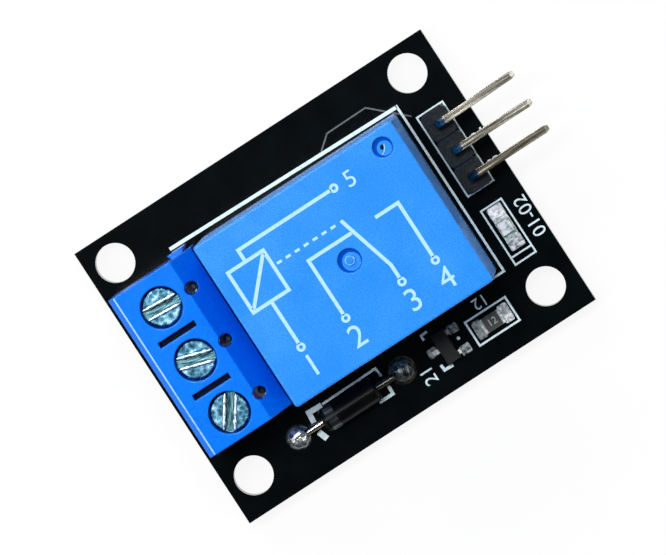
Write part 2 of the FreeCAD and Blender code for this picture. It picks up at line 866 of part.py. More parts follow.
def relay_armature():
    """The hinged plate, its leaf spring and the double headed contact rivet."""
    armature = lean(new_body("relay_armature"))
    plate = new_sketch(armature, "armature_outline", "XY_Plane")
    rectangle(plate, ("-armature_length", "-armature_width / 2"), ("0", "armature_width / 2"))
    pad(armature, plate, "armature_thickness")
    keep(armature, "relay_armature")

    spring = lean(new_body("contact_spring"))
    leaf = new_sketch(spring, "spring_profile", "XZ_Plane")
    spring_top = "(armature_thickness + spring_thickness)"
    leg_lean = "spring_leg * tan(armature_lift)"
    outline(
        leaf,
        [
            (f"-{contact_arm} - spring_overhang", "armature_thickness"),
            ("spring_back_gap", "armature_thickness"),
            (f"spring_back_gap + {leg_lean}", "-spring_leg"),
            (f"spring_back_gap + spring_thickness + {leg_lean}", "-spring_leg"),
            ("spring_back_gap + spring_thickness", spring_top),
            (f"-{contact_arm} - spring_overhang", spring_top),
        ],
    )
    pad(spring, leaf, "spring_width", side="Symmetric")
    hole = new_sketch(spring, "spring_hole", "XY_Plane", spring_top)
    polygon(hole, f"-{contact_arm}", "0", "contact_shank_radius", post_sides)
    pocket(spring, hole, "spring_thickness")
    keep(spring, "contact_spring")

    lower = "(armature_thickness - contact_lower_head)"
    upper = f"({spring_top} + contact_upper_head)"
    discs = [
        prism(name, ("0", "0", bottom), radius, f"{top} - {bottom}", post_sides)
        for name, radius, bottom, top in (
            ("lower_head", "contact_radius", lower, "armature_thickness"),
            ("contact_shank", "contact_shank_radius", "armature_thickness", spring_top),
            ("upper_head", "contact_radius", spring_top, upper),
        )
    ]
    keep(lean(fuse("moving_contact", discs), contact_arm), "moving_contact")


def fixed_contact(name, side, arm_bottom, button_bottom):
    """A stamped strip from its pin up to an arm over or under the moving contact."""
    body = new_body(name, relay_frame)
    strip = new_sketch(body, name + "_profile", "YZ_Plane", "contact_pin_x")
    inner = f"{side} * (contact_pin_y - contact_strip_thickness / 2)"
    outer = f"{side} * (contact_pin_y + contact_strip_thickness / 2)"
    arm_end = f"{-side} * contact_radius"
    arm_top = f"{arm_bottom} + contact_strip_thickness"
    outline(
        strip,
        [
            (inner, base_top),
            (outer, base_top),
            (outer, arm_top),
            (arm_end, arm_top),
            (arm_end, arm_bottom),
            (inner, arm_bottom),
        ],
    )
    pad(body, strip, "contact_strip_width", side="Symmetric")
    blade = new_sketch(body, name + "_blade", "YZ_Plane", "contact_pin_x")
    blade_inner = f"{side} * contact_pin_y - blade_thickness / 2"
    blade_outer = f"{side} * contact_pin_y + blade_thickness / 2"
    rectangle(blade, (blade_inner, lead_bottom), (blade_outer, base_top))
    pad(body, blade, "blade_width", side="Symmetric")
    keep(body, name)
    foot = ("relay_x + contact_pin_x", "relay_y", f"{board_top} + {button_bottom}")
    button = prism(name + "_button", foot, "contact_radius", "contact_button", post_sides)
    keep(button, name + "_button")


def relay_contacts():
    """The contact that is closed at rest lies above the spring, the other one below it."""
    closed_bottom = (
        f"({hinge_height} + {contact_arm} * sin(armature_lift) + contact_rest_gap"
        " + (armature_thickness + spring_thickness + contact_upper_head) * cos(armature_lift))"
    )
    closed_arm = f"({closed_bottom} + contact_button)"
    fixed_contact("closed_contact", 1, closed_arm, closed_bottom)
    open_bottom = (
        f"({hinge_height} + armature_thickness - contact_lower_head"
        " - contact_rest_gap - contact_button)"
    )
    open_arm = f"({open_bottom} - contact_strip_thickness)"
    fixed_contact("open_contact", -1, open_arm, open_bottom)


# Pin header

def header_block():
    """A moulded block of three cells with notched corners and a square hole in each."""
    body = new_body("header_block", header_frame)
    cells = new_sketch(body, "header_outline", "XY_Plane")
    half_pitch = "header_pitch / 2"
    right = []
    left = []
    for way in ways:
        middle = way_offset(way_count - 1 - way, "header_pitch")
        for side, points in ((1, right), (-1, left)):
            edge = f"{side} * header_block_width / 2"
            notched = f"{side} * (header_block_width / 2 - header_notch)"
            points.append((notched, f"{middle} - {half_pitch}"))
            points.append((edge, f"{middle} - {half_pitch} + header_notch"))
            points.append((edge, f"{middle} + {half_pitch} - header_notch"))
    last = f"{way_offset(0, 'header_pitch')} + {half_pitch}"
    right.append(("header_block_width / 2 - header_notch", last))
    left.append(("header_notch - header_block_width / 2", last))
    outline(cells, right + left[::-1])
    pad(body, cells, "header_block_height")
    holes = new_sketch(body, "header_holes", "XY_Plane", "header_block_height")
    half_hole = "(header_pin_width / 2 + header_pin_fit)"
    for way in ways:
        middle = way_offset(way, "header_pitch")
        low = (f"-{half_hole}", f"{middle} - {half_hole}")
        rectangle(holes, low, (half_hole, f"{middle} + {half_hole}"))
    pocket(body, holes, "header_block_height")
    keep(body, "header_block")


def header_pins():
    """Three square pins, bent flat over the block, with tapered tips; the first one is splayed."""
    half = "header_pin_width / 2"
    tip = "header_pin_length"
    taper_start = f"{tip} - header_tip_length"
    arm_low = f"header_arm_height - {half}"
    arm_high = f"header_arm_height + {half}"
    for way in ways:
        name = f"header_pin_{way + 1}"
        x, y, z = header_frame
        body = new_body(name, (x, f"{y} + {way_offset(way, 'header_pitch')}", z))
        if way == 0:
            turn(body, (0, 0, 1), "header_pin_splay")
        profile = new_sketch(body, name + "_profile", "XZ_Plane")
        outline(
            profile,
            [
                (f"-{half}", lead_bottom),
                (half, lead_bottom),
                (half, arm_low),
                (taper_start, arm_low),
                (tip, f"{arm_low} + header_tip_taper"),
                (tip, f"{arm_high} - header_tip_taper"),
                (taper_start, arm_high),
                (f"-{half}", arm_high),
            ],
        )
        pad(body, profile, "header_pin_width", side="Symmetric")
        round_header_bend(body, name)
        sides = new_sketch(body, name + "_tip", "XY_Plane", "header_arm_height + header_pin_width")
        for side in (-1, 1):
            edge = f"{side} * {half}"
            narrowed = f"{side} * ({half} - header_tip_taper)"
            outline(sides, [(taper_start, edge), (tip, narrowed), (tip, edge)])
        pocket(body, sides, "2 * header_pin_width")
        keep(body, name)


def round_header_bend(body, name):
    """Round the inside and the outside of a pin's bend about one centre."""
    half = size_of("header_pin_width") / 2
    low = size_of("header_arm_height") - half
    high = size_of("header_arm_height") + half
    fillet(
        body,
        name + "_inner_bend",
        "header_bend_radius",
        lambda edge: lies_at(edge, 0, half) and lies_at(edge, 2, low),
    )
    fillet(
        body,
        name + "_outer_bend",
        "header_bend_radius + header_pin_width",
        lambda edge: lies_at(edge, 0, -half) and lies_at(edge, 2, high),
    )


# Screw terminal

def terminal_housing():
    """A moulded three way block: bays open below, wire windows in front, screws from above."""
    body = new_body("housing_block", terminal_frame)
    profile = new_sketch(body, "housing_profile", "XZ_Plane", "-terminal_shift_y")
    outline(
        profile,
        [
            ("-terminal_front", "0"),
            ("terminal_back", "0"),
            ("terminal_back", "terminal_back_height"),
            ("terminal_ridge_x", "terminal_height"),
            ("terminal_bevel - terminal_front", "terminal_height"),
            ("-terminal_front", "terminal_height - terminal_bevel"),
        ],
    )
    pad(body, profile, "terminal_length", side="Symmetric")

    tongue = new_sketch(body, "tongue", "XY_Plane")
    end_y = "(terminal_shift_y + terminal_length / 2)"
    outline(
        tongue,
        [
            ("tongue_x - tongue_root / 2", end_y),
            ("tongue_x + tongue_root / 2", end_y),
            ("tongue_x + tongue_tip / 2", f"{end_y} + tongue_depth"),
            ("tongue_x - tongue_tip / 2", f"{end_y} + tongue_depth"),
        ],
    )
    pad(body, tongue, "tongue_height")
    groove = new_sketch(body, "groove", "XY_Plane")
    far_y = "(terminal_shift_y - terminal_length / 2)"
    mouth = "(tongue_root / 2 + groove_gap)"
    floor = "(tongue_tip / 2 + groove_gap)"
    outline(
        groove,
        [
            (f"tongue_x - {mouth}", far_y),
            (f"tongue_x + {mouth}", far_y),
            (f"tongue_x + {floor}", f"{far_y} + tongue_depth + groove_gap"),
            (f"tongue_x - {floor}", f"{far_y} + tongue_depth + groove_gap"),
        ],
    )
    pocket(body, groove, "tongue_height + groove_gap", upwards=True)

    bays = new_sketch(body, "cage_bays", "XY_Plane")
    slots = new_sketch(body, "bar_slots", "XY_Plane")
    windows = new_sketch(body, "wire_windows", "YZ_Plane", "-terminal_front")
    rims = new_sketch(body, "window_rims", "YZ_Plane", "-terminal_front")
    heads = new_sketch(body, "head_wells", "XY_Plane", "terminal_height")
    shanks = new_sketch(body, "shank_holes", "XY_Plane", "terminal_height")
    probes = []
    slot_half = "(bar_width / 2 + slot_fit)"
    window_top = "window_sill + window_height"
    for way in ways:
        middle = way_offset(way, "terminal_pitch")
        rectangle(
            bays,
            ("-bay_front", f"{middle} - bay_width / 2"),
            ("bay_depth - bay_front", f"{middle} + bay_width / 2"),
        )
        rectangle(
            slots,
            ("bay_depth - bay_front", f"{middle} - {slot_half}"),
            ("slot_back_x", f"{middle} + {slot_half}"),
        )
        rectangle(
            windows,
            (f"{middle} - window_width / 2", "window_sill"),
            (f"{middle} + window_width / 2", window_top),
        )
        rectangle(
            rims,
            (f"{middle} - window_width / 2 - window_rim", "window_sill - window_rim"),
            (f"{middle} + window_width / 2 + window_rim", f"{window_top} + window_rim"),
        )
        circle(heads, "0", middle, "screw_head_radius + screw_head_gap")
        circle(shanks, "0", middle, "screw_radius + screw_shelf_gap")
        foot = ("terminal_x + probe_x", f"terminal_y + {middle}", f"{board_top} + slot_roof")
        depth = "terminal_height - slot_roof"
        probes.append(prism(f"probe_hole_{way + 1}", foot, "probe_radius", depth, lead_sides))
    pocket(body, bays, "bay_ceiling", upwards=True)
    pocket(body, slots, "slot_roof", upwards=True)
    pocket(body, windows, "terminal_front - bay_front", upwards=True)
    pocket(body, rims, "window_recess", upwards=True)
    pocket(body, heads, f"terminal_height - {screw_shelf}")
    pocket(body, shanks, "terminal_height - bay_ceiling")

    markers = new_sketch(body, "marker_slots", "XY_Plane", "terminal_height")
    for side in (-1, 1):
        middle = f"{side} * terminal_pitch / 2"
        rectangle(
            markers,
            ("marker_shift - marker_length / 2", f"{middle} - marker_width / 2"),
            ("marker_shift + marker_length / 2", f"{middle} + marker_width / 2"),
        )
    pocket(body, markers, "marker_depth")
    keep(drill("terminal_housing", body, probes), "terminal_housing")


def clamp_screws():
    """Three slotted screws, held between the housing's shelf and the bar, turned as used."""
    head_bottom = f"({screw_shelf} + screw_seat_gap)"
    head_top = f"({head_bottom} + screw_head_height)"
    tip = f"{bar_top} + screw_tip_gap"
    for way, screw_turn in enumerate(("screw_turn_one", "screw_turn_two", "screw_turn_three")):
        name = f"clamp_screw_{way + 1}"
        x, y, z = terminal_frame
        body = new_body(name, (x, f"{y} + {way_offset(way, 'terminal_pitch')}", z))
        turn(body, (0, 0, 1), screw_turn)
        half = new_sketch(body, name + "_profile", "XZ_Plane")
        outline(
            half,
            [
                ("0", tip),
                ("screw_radius - screw_tip_bevel", tip),
                ("screw_radius", f"{tip} + screw_tip_bevel"),
                ("screw_radius", head_bottom),
                ("screw_head_radius", head_bottom),
                ("screw_head_radius", f"{head_top} - screw_head_edge"),
                ("screw_head_radius - screw_head_edge", head_top),
                ("0", head_top),
            ],
        )
        revolve(body, half, "V_Axis")
        slot = new_sketch(body, name + "_slot", "XY_Plane", head_top)
        half_slot = "screw_slot_width / 2"
        rectangle(slot, ("-screw_head_radius", f"-{half_slot}"), ("screw_head_radius", half_slot))
        pocket(body, slot, "screw_slot_depth")
        keep(body, name)


def clamp_cages():
    """Three rising cages: a square tube on each screw's thread, shown fully open."""
    for way in ways:
        name = f"clamp_cage_{way + 1}"
        x, y, z = terminal_frame
        body = new_body(name, (x, f"{y} + {way_offset(way, 'terminal_pitch')}", z))
        middle_x = "(bay_depth / 2 - bay_front)"
        ring = new_sketch(body, name + "_profile", "YZ_Plane", middle_x)
        half = "(bay_width / 2 - cage_side_gap)"
        top = f"(cage_floor_height + {cage_height})"
        rectangle(ring, (f"-{half}", "cage_floor_height"), (half, top))
        rectangle(
            ring,
            (f"cage_side - {half}", "cage_floor_height + cage_floor"),
            (f"{half} - cage_side", f"{top} - cage_roof"),
        )
        pad(body, ring, "bay_depth - 2 * cage_side_gap", side="Symmetric")
        thread = new_sketch(body, name + "_thread", "XY_Plane", top)
        circle(thread, "0", "0", "screw_radius + screw_thread_gap")
        pocket(body, thread, "cage_roof")
        keep(body, name)


def clamp_bars():
    """Three contact bars, each with its solder pin in one piece."""
    back = "(slot_back_x - bar_back_gap)"
    for way in ways:
        name = f"clamp_bar_{way + 1}"
        x, y, z = terminal_frame
        body = new_body(name, (x, f"{y} + {way_offset(way, 'terminal_pitch')}", z))
        bar = new_sketch(body, name + "_profile", "XZ_Plane")
        rectangle(bar, ("-bar_front", "bar_height"), (back, bar_top))
        pad(body, bar, "bar_width", side="Symmetric")
        pin = new_sketch(body, name + "_pin", "XZ_Plane")
        rectangle(pin, (f"{back} - bar_pin_thickness", lead_bottom), (back, bar_top))
        pad(body, pin, "bar_pin_width", side="Symmetric")
        keep(body, name)


# Freewheel diode

def diode():
    """A moulded round body on the axis of two leads that bend down through the board."""
    body = new_body("diode_body", diode_frame)
    half = new_sketch(body, "diode_profile", "XZ_Plane")
    end = "diode_length / 2"
    outline(
        half,
        [
            (f"-{end}", "0"),
            (end, "0"),
            (end, "diode_radius - diode_edge"),
            (f"{end} - diode_edge", "diode_radius"),
            (f"diode_edge - {end}", "diode_radius"),
            (f"-{end}", "diode_radius - diode_edge"),
        ],
    )
    revolve(body, half, "H_Axis")
    keep(body, "diode_body")
    for index, side in enumerate((-1, 1), 1):
        bent_lead(f"diode_lead_{index}", side)


def bent_lead(name, side):
    """Round wire from the diode's end, round one bend, down to the clipped tip."""
    body = new_body(name, diode_frame)
    turn_x = f"{side} * diode_lead_pitch / 2"
    bend_x = f"{side} * (diode_lead_pitch / 2 - diode_bend_radius)"
    body_end = f"{side} * diode_length / 2"
    tip = f"{lead_bottom} - {diode_axis_height}"
    path = new_sketch(body, name + "_path", "XZ_Plane")
    quarter = math.pi / 2
    sweep = (0.0, quarter) if side > 0 else (quarter, 2 * quarter)
    ring = Part.Circle(FreeCAD.Vector(side * 2.0, -1.0, 0), FreeCAD.Vector(0, 0, 1), 1.0)
    corner = FreeCAD.Vector(side * 2.0, 0, 0)
    drop = FreeCAD.Vector(side * 3.0, -1.0, 0)
    run = path.addGeometry(Part.LineSegment(FreeCAD.Vector(0, 0, 0), corner))
    bend = path.addGeometry(Part.ArcOfCircle(ring, *sweep))
    fall = path.addGeometry(Part.LineSegment(drop, FreeCAD.Vector(side * 3.0, -4.0, 0)))
    begin, finish = (2, 1) if side > 0 else (1, 2)
    path.addConstraint(Sketcher.Constraint("Coincident", run, 2, bend, begin))
    path.addConstraint(Sketcher.Constraint("Coincident", fall, 1, bend, finish))
    fix_point(path, run, 1, body_end, "0")
    fix_point(path, run, 2, bend_x, "0")
    fix_point(path, fall, 1, turn_x, "-diode_bend_radius")
    fix_point(path, fall, 2, turn_x, tip)
    index = path.addConstraint(Sketcher.Constraint("DistanceX", -1, 1, bend, 3, side * 2.0))
    link(path, f"Constraints[{index}]", bend_x)
    section = new_sketch(body, name + "_section", "YZ_Plane", body_end)
    polygon(section, "0", "0", "diode_lead_radius", lead_sides)
    wire = body.newObject("PartDesign::AdditivePipe", name + "_wire")
    wire.Profile = section
    wire.Spine = (path, [])
    keep(body, name)


# Driver transistor

def transistor():
    """A small moulded body, drafted above and below its three gull wing leads."""
    frame = ("transistor_x", "transistor_y", board_top)
    body = new_body("transistor_body", frame)
    middle = "(transistor_lift + transistor_height / 2)"
    for name, backwards in (("transistor_upper", False), ("transistor_lower", True)):
        half = new_sketch(body, name, "XY_Plane", middle)
        rectangle(
            half,
            ("-transistor_width / 2", "-transistor_length / 2"),
            ("transistor_width / 2", "transistor_length / 2"),
        )
        height = "transistor_height / 2"
        pad(body, half, height, backwards=backwards, taper="-transistor_draft")
    keep(body, "transistor_body")
    leads = []
    for index, (side, along) in enumerate(((1, 0.5), (1, -0.5), (-1, 0.0)), 1):
        name = f"transistor_lead_{index}"
        x, y, z = frame
        lead = new_body(name, (x, f"{y} + {along} * transistor_lead_pitch", z))
        gull = new_sketch(lead, name + "_profile", "XZ_Plane")
        root = "transistor_width / 2"
        shoulder = f"{root} + transistor_lead_shoulder"
        foot = "transistor_lead_span - transistor_foot"
        thickness = "transistor_lead_thickness"
        points = [
            (root, f"{middle} + {thickness} / 2"),
            (f"{shoulder} + {thickness} / 2", f"{middle} + {thickness} / 2"),
            (f"{foot} + {thickness} / 2", thickness),
            ("transistor_lead_span", thickness),
            ("transistor_lead_span", "0"),
            (f"{foot} - {thickness} / 2", "0"),
            (f"{shoulder} - {thickness} / 2", f"{middle} - {thickness} / 2"),
            (root, f"{middle} - {thickness} / 2"),
        ]
        outline(gull, [(f"{side} * ({px})", py) for px, py in points])
        pad(lead, gull, "transistor_lead_width", side="Symmetric")
        leads.append(lead)
    group("transistor_leads", leads)


# Chip parts share their end caps and solder

def chip_body(name, frame, upright):
    """A body in a chip's own frame, with the chip's length along X unless it stands upright."""
    body = new_body(name, frame)
    if upright:
        turn(body, (0, 0, 1), "90")
    return body


def end_caps(name, frame, upright, length, width, height, reach):
    """Two folded metal caps, one on each end of a chip."""
    caps = []
    for index, side in enumerate((-1, 1), 1):
        cap = chip_body(f"{name}_{index}", frame, upright)
        fold = new_sketch(cap, f"{name}_{index}_profile", "XZ_Plane")
        end = f"{length} / 2"
        inner = f"{end} - cap_thickness"
        points = [
            (f"{end} - {reach}", "0"),
            (end, "0"),
            (end, height),
            (f"{end} - {reach}", height),
            (f"{end} - {reach}", f"{height} - cap_thickness"),
            (inner, f"{height} - cap_thickness"),
            (inner, "cap_thickness"),
            (f"{end} - {reach}", "cap_thickness"),
        ]
        outline(fold, [(f"{side} * ({x})", z) for x, z in points])
        pad(cap, fold, width, side="Symmetric")
        caps.append(cap)
    group(name, caps)


def end_solder(name, frame, upright, length, width, reach, side_reach):
    """A wedge of solder against each end of a chip."""
    wedges = []
    for index, side in enumerate((-1, 1), 1):
        wedge = chip_body(f"{name}_{index}", frame, upright)
        slope = new_sketch(wedge, f"{name}_{index}_profile", "XZ_Plane")
        end = f"{length} / 2"
        points = [
            (end, "0"),
            (f"{end} + {reach}", "0"),
            (f"{end} + {reach} / 3", "chip_solder_rise / 3"),
            (end, "chip_solder_rise"),
        ]
        outline(slope, [(f"{side} * ({x})", z) for x, z in points])
        pad(wedge, slope, f"{width} + 2 * {side_reach}", side="Symmetric")
        wedges.append(wedge)
    group(name, wedges)


def chip_core(name, frame, upright, length, width, height):
    """The block of a chip between its end caps."""
    body = chip_body(name, frame, upright)
    block = new_sketch(body, name + "_outline", "XY_Plane", "cap_thickness")
    half = f"({length} / 2 - cap_thickness)"
    rectangle(block, (f"-{half}", f"-{width} / 2"), (half, f"{width} / 2"))
    pad(body, block, f"{height} - 2 * cap_thickness")
    keep(body, name)


def resistor():
    """A ceramic chip with metal ends and a dark coat over its film."""
    frame = ("resistor_x", "resistor_y", board_top)
    size = ("resistor_length", "resistor_width")
    chip_core("resistor_body", frame, False, *size, "resistor_height")
    end_caps("resistor_caps", frame, False, *size, "resistor_height", "resistor_cap")
    end_solder(
        "resistor_solder", frame, False, *size, "resistor_solder_reach", "resistor_solder_side"
    )
    half = "(resistor_length / 2 - resistor_cap - resistor_coat_gap)"
    coat = box(
        "resistor_coat",
        (
            f"resistor_x - {half}",
            "resistor_y - resistor_width / 2",
            f"{board_top} + resistor_height - cap_thickness",
        ),
        (f"2 * {half}", "resistor_width", "resistor_coat_height"),
    )
    keep(coat, "resistor_coat")


def lamp():
    """A chip lamp: base, metal ends, a clear drafted lens and the die inside it."""
    frame = ("lamp_x", "lamp_y", board_top)
    size = ("lamp_length", "lamp_width")
    chip_core("lamp_base", frame, True, *size, "lamp_base_height")
    end_caps("lamp_caps", frame, True, *size, "lamp_base_height", "lamp_cap")
    end_solder("lamp_solder", frame, True, *size, "lamp_solder_reach", "lamp_solder_side")
    seat = "(lamp_base_height - cap_thickness)"
    lens = chip_body("lamp_lens", frame, True)
    foot = new_sketch(lens, "lens_outline", "XY_Plane", seat)
    rectangle(
        foot,
        ("-lamp_lens_length / 2", "-lamp_lens_width / 2"),
        ("lamp_lens_length / 2", "lamp_lens_width / 2"),
    )
    pad(lens, foot, "lamp_lens_height", taper="-lamp_lens_draft")
    room = new_sketch(lens, "die_room", "XY_Plane", seat)
    die_half = "lamp_die_size / 2"
    rectangle(room, (f"-{die_half}", f"-{die_half}"), (die_half, die_half))
    pocket(lens, room, "lamp_die_height", upwards=True)
    keep(lens, "lamp_lens")
    die = box(
        "lamp_die",
        (f"lamp_x - {die_half}", f"lamp_y - {die_half}", f"{board_top} + {seat}"),
        ("lamp_die_size", "lamp_die_size", "lamp_die_height"),
    )
    keep(die, "lamp_die")


def transistor_solder():
    """A small wedge of solder over the toe of each transistor lead."""
    wedges = []
    for index, (side, along) in enumerate(((1, 0.5), (1, -0.5), (-1, 0.0)), 1):
        at = ("transistor_x", f"transistor_y + {along} * transistor_lead_pitch", board_top)
        wedge = new_body(f"transistor_solder_{index}", at)
        slope = new_sketch(wedge, f"transistor_solder_{index}_profile", "XZ_Plane")
        toe = "transistor_lead_span"
        points = [
            (toe, "0"),
            (f"{toe} + toe_solder_reach", "0"),
            (toe, "transistor_lead_thickness"),
        ]
        outline(slope, [(f"{side} * ({x})", z) for x, z in points])
        pad(wedge, slope, "transistor_lead_width", side="Symmetric")
        wedges.append(wedge)
    group("transistor_solder", wedges)


circuit_board()
lead_solder()
relay_cover()
relay_base()
relay_magnet()
relay_pins()
relay_armature()
relay_contacts()
header_block()
header_pins()
terminal_housing()
clamp_screws()
clamp_cages()
clamp_bars()
diode()
transistor()
transistor_solder()
resistor()
lamp()
doc.recompute()

# Nothing is written unless every object is sound
for obj in doc.Objects:
    if "Invalid" in obj.State or "Error" in obj.State:
        raise RuntimeError(f"{obj.Label} failed: {obj.State}")
for sub_part in sub_parts:
    if sub_part.Shape.isNull() or not sub_part.Shape.isValid() or not sub_part.Shape.Solids:
        raise RuntimeError(f"{sub_part.Label} has no sound shape")

os.makedirs("parts", exist_ok=True)
for sub_part in sub_parts:
    sub_part.Shape.exportStep(f"parts/{sub_part.Label}.step")
    span = sub_part.Shape.BoundBox
    print(
        f"{sub_part.Label}: {len(sub_part.Shape.Solids)} solid,"
        f" {sub_part.Shape.Volume:.3f} mm3,"
        f" x {span.XMin:.2f} to {span.XMax:.2f},"
        f" y {span.YMin:.2f} to {span.YMax:.2f},"
        f" z {span.ZMin:.2f} to {span.ZMax:.2f}"
    )
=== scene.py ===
import math

import bmesh
import bpy
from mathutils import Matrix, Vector


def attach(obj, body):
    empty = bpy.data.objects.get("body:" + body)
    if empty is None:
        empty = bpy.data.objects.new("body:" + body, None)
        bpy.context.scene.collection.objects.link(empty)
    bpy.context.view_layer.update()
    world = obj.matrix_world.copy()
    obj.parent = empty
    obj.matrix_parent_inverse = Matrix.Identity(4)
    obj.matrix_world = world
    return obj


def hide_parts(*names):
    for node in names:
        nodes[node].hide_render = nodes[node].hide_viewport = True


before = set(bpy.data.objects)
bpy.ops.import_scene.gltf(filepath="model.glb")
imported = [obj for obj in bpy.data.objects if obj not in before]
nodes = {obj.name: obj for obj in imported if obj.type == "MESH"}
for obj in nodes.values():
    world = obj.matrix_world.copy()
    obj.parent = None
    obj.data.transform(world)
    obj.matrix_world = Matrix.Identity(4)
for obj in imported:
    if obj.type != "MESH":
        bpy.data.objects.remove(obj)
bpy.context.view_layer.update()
millimetre = 0.001
print("frame loaded:", len(nodes), "nodes")


# Small helpers for materials

def toLinear(hexColour):
    # sRGB hex to the linear numbers that a socket holds
    parts = [int(hexColour[place:place + 2], 16) / 255 for place in (1, 3, 5)]
    return tuple(p / 12.92 if p <= 0.04045 else ((p + 0.055) / 1.055) ** 2.4 for p in parts) + (1.0,)


def perMm(size):
    # Texture scale that gives one feature in so many millimetres
    return 1.0 / (size * millimetre)


def addNode(tree, kind, settings=None, links=None):
    # One node with its settings, its socket values and its links
    node = tree.nodes.new(kind)
    for name, value in (settings or {}).items():
        if name in node.bl_rna.properties.keys():
            setattr(node, name, value)
        else:
            node.inputs[name].default_value = value
    for name, (source, output) in (links or {}).items():
        tree.links.new(source.outputs[output], node.inputs[name])
    return node


def setRamp(node, stops):
    # Colour stops of a ramp: place and hex colour
    ramp = node.color_ramp
    while len(ramp.elements) > 1:
        ramp.elements.remove(ramp.elements[-1])
    for index, (place, colour) in enumerate(stops):
        element = ramp.elements[0] if index == 0 else ramp.elements.new(place)
        element.position = place
        element.color = toLinear(colour)


def startMaterial(name):
    material = bpy.data.materials.new(name)
    material.use_nodes = True
    material.node_tree.nodes.clear()
    tree = material.node_tree
    place = addNode(tree, "ShaderNodeTexCoord")
    return material, tree, place


def endMaterial(tree, shader):
    addNode(tree, "ShaderNodeOutputMaterial", {}, {"Surface": (shader, 0)})


# Materials, each named for what it is and how it was made

def makeSolderMask():
    # Black solder mask, curtain coated over glass fibre laminate: near black, slightly wavy satin.
    # The routed edges and hole walls show the laminate itself, brown with fine glass layers.
    material, tree, place = startMaterial("black solder mask on laminate")
    ripple = addNode(tree, "ShaderNodeTexNoise", {"Scale": perMm(2.2), "Detail": 3.0},
                     {"Vector": (place, "Object")})
    weave = addNode(tree, "ShaderNodeTexNoise", {"Scale": perMm(0.35), "Detail": 2.0},
                    {"Vector": (place, "Object")})
    mask = addNode(tree, "ShaderNodeValToRGB", {}, {"Fac": (ripple, 0)})
    setRamp(mask, [(0.3, "#020506"), (0.7, "#060b0d")])
    layers = addNode(tree, "ShaderNodeMapping", {"Scale": (0.15, 0.15, 1.0)}, {"Vector": (place, "Object")})
    # Glass cloth layers are 0.18 mm apart, drawn as 0.28 mm so that they show
    glass = addNode(tree, "ShaderNodeTexWave",
                    {"bands_direction": "Z", "Scale": perMm(0.9), "Distortion": 3.0, "Detail": 3.0},
                    {"Vector": (layers, 0)})
    edge = addNode(tree, "ShaderNodeValToRGB", {}, {"Fac": (glass, 1)})
    setRamp(edge, [(0.0, "#262119"), (0.6, "#2d271e"), (1.0, "#362f24")])
    facing = addNode(tree, "ShaderNodeNewGeometry")
    split = addNode(tree, "ShaderNodeSeparateXYZ", {}, {"Vector": (facing, "True Normal")})
    steep = addNode(tree, "ShaderNodeMath", {"operation": "ABSOLUTE"}, {0: (split, "Z")})
    flat = addNode(tree, "ShaderNodeMath", {"operation": "GREATER_THAN", 1: 0.7}, {0: (steep, 0)})
    colour = addNode(tree, "ShaderNodeMix", {"data_type": "RGBA"}, {0: (flat, 0), 6: (edge, 0), 7: (mask, 0)})
    bump = addNode(tree, "ShaderNodeBump", {"Strength": 0.06, "Distance": 0.02 * millimetre},
                   {"Height": (ripple, 0)})
    fine = addNode(tree, "ShaderNodeBump", {"Strength": 0.05, "Distance": 0.01 * millimetre},
                   {"Height": (weave, 0), "Normal": (bump, 0)})
    shader = addNode(tree, "ShaderNodeBsdfPrincipled", {"Roughness": 0.13, "Specular IOR Level": 0.1},
                     {"Base Color": (colour, 2), "Normal": (fine, 0)})
    endMaterial(tree, shader)
    return material


def makeMouldedPlastic(name, colours, grain, bumpDepth, roughness, edgeRadius, specular=0.5):
    # Injection moulded plastic: one colour all through with faint flow clouds, an eroded mould grain
    # and slightly rounded edges that catch the light
    material, tree, place = startMaterial(name)
    clouds = addNode(tree, "ShaderNodeTexNoise", {"Scale": perMm(4.0), "Detail": 2.0},
                     {"Vector": (place, "Object")})
    grit = addNode(tree, "ShaderNodeTexNoise", {"Scale": perMm(grain), "Detail": 3.0, "Roughness": 0.7},
                   {"Vector": (place, "Object")})
    faint = addNode(tree, "ShaderNodeMath", {"operation": "MULTIPLY", 1: 0.2}, {0: (clouds, 0)})
    blend = addNode(tree, "ShaderNodeMath", {"operation": "MULTIPLY_ADD", 1: 0.8},
                    {0: (grit, 0), 2: (faint, 0)})
    colour = addNode(tree, "ShaderNodeValToRGB", {}, {"Fac": (blend, 0)})
    setRamp(colour, [(0.38, colours[0]), (0.52, colours[1]), (0.7, colours[-1])])
    rounded = addNode(tree, "ShaderNodeBevel", {"samples": 4, "Radius": edgeRadius * millimetre})
    bump = addNode(tree, "ShaderNodeBump", {"Strength": 0.5, "Distance": bumpDepth * millimetre},
                   {"Height": (grit, 0), "Normal": (rounded, 0)})
    gloss = addNode(tree, "ShaderNodeMapRange", {"To Min": roughness - 0.02, "To Max": roughness + 0.03},
                    {0: (clouds, 0)})
    shader = addNode(tree, "ShaderNodeBsdfPrincipled", {"Specular IOR Level": specular},
                     {"Base Color": (colour, 0), "Roughness": (gloss, 0), "Normal": (bump, 0)})
    endMaterial(tree, shader)
    return material


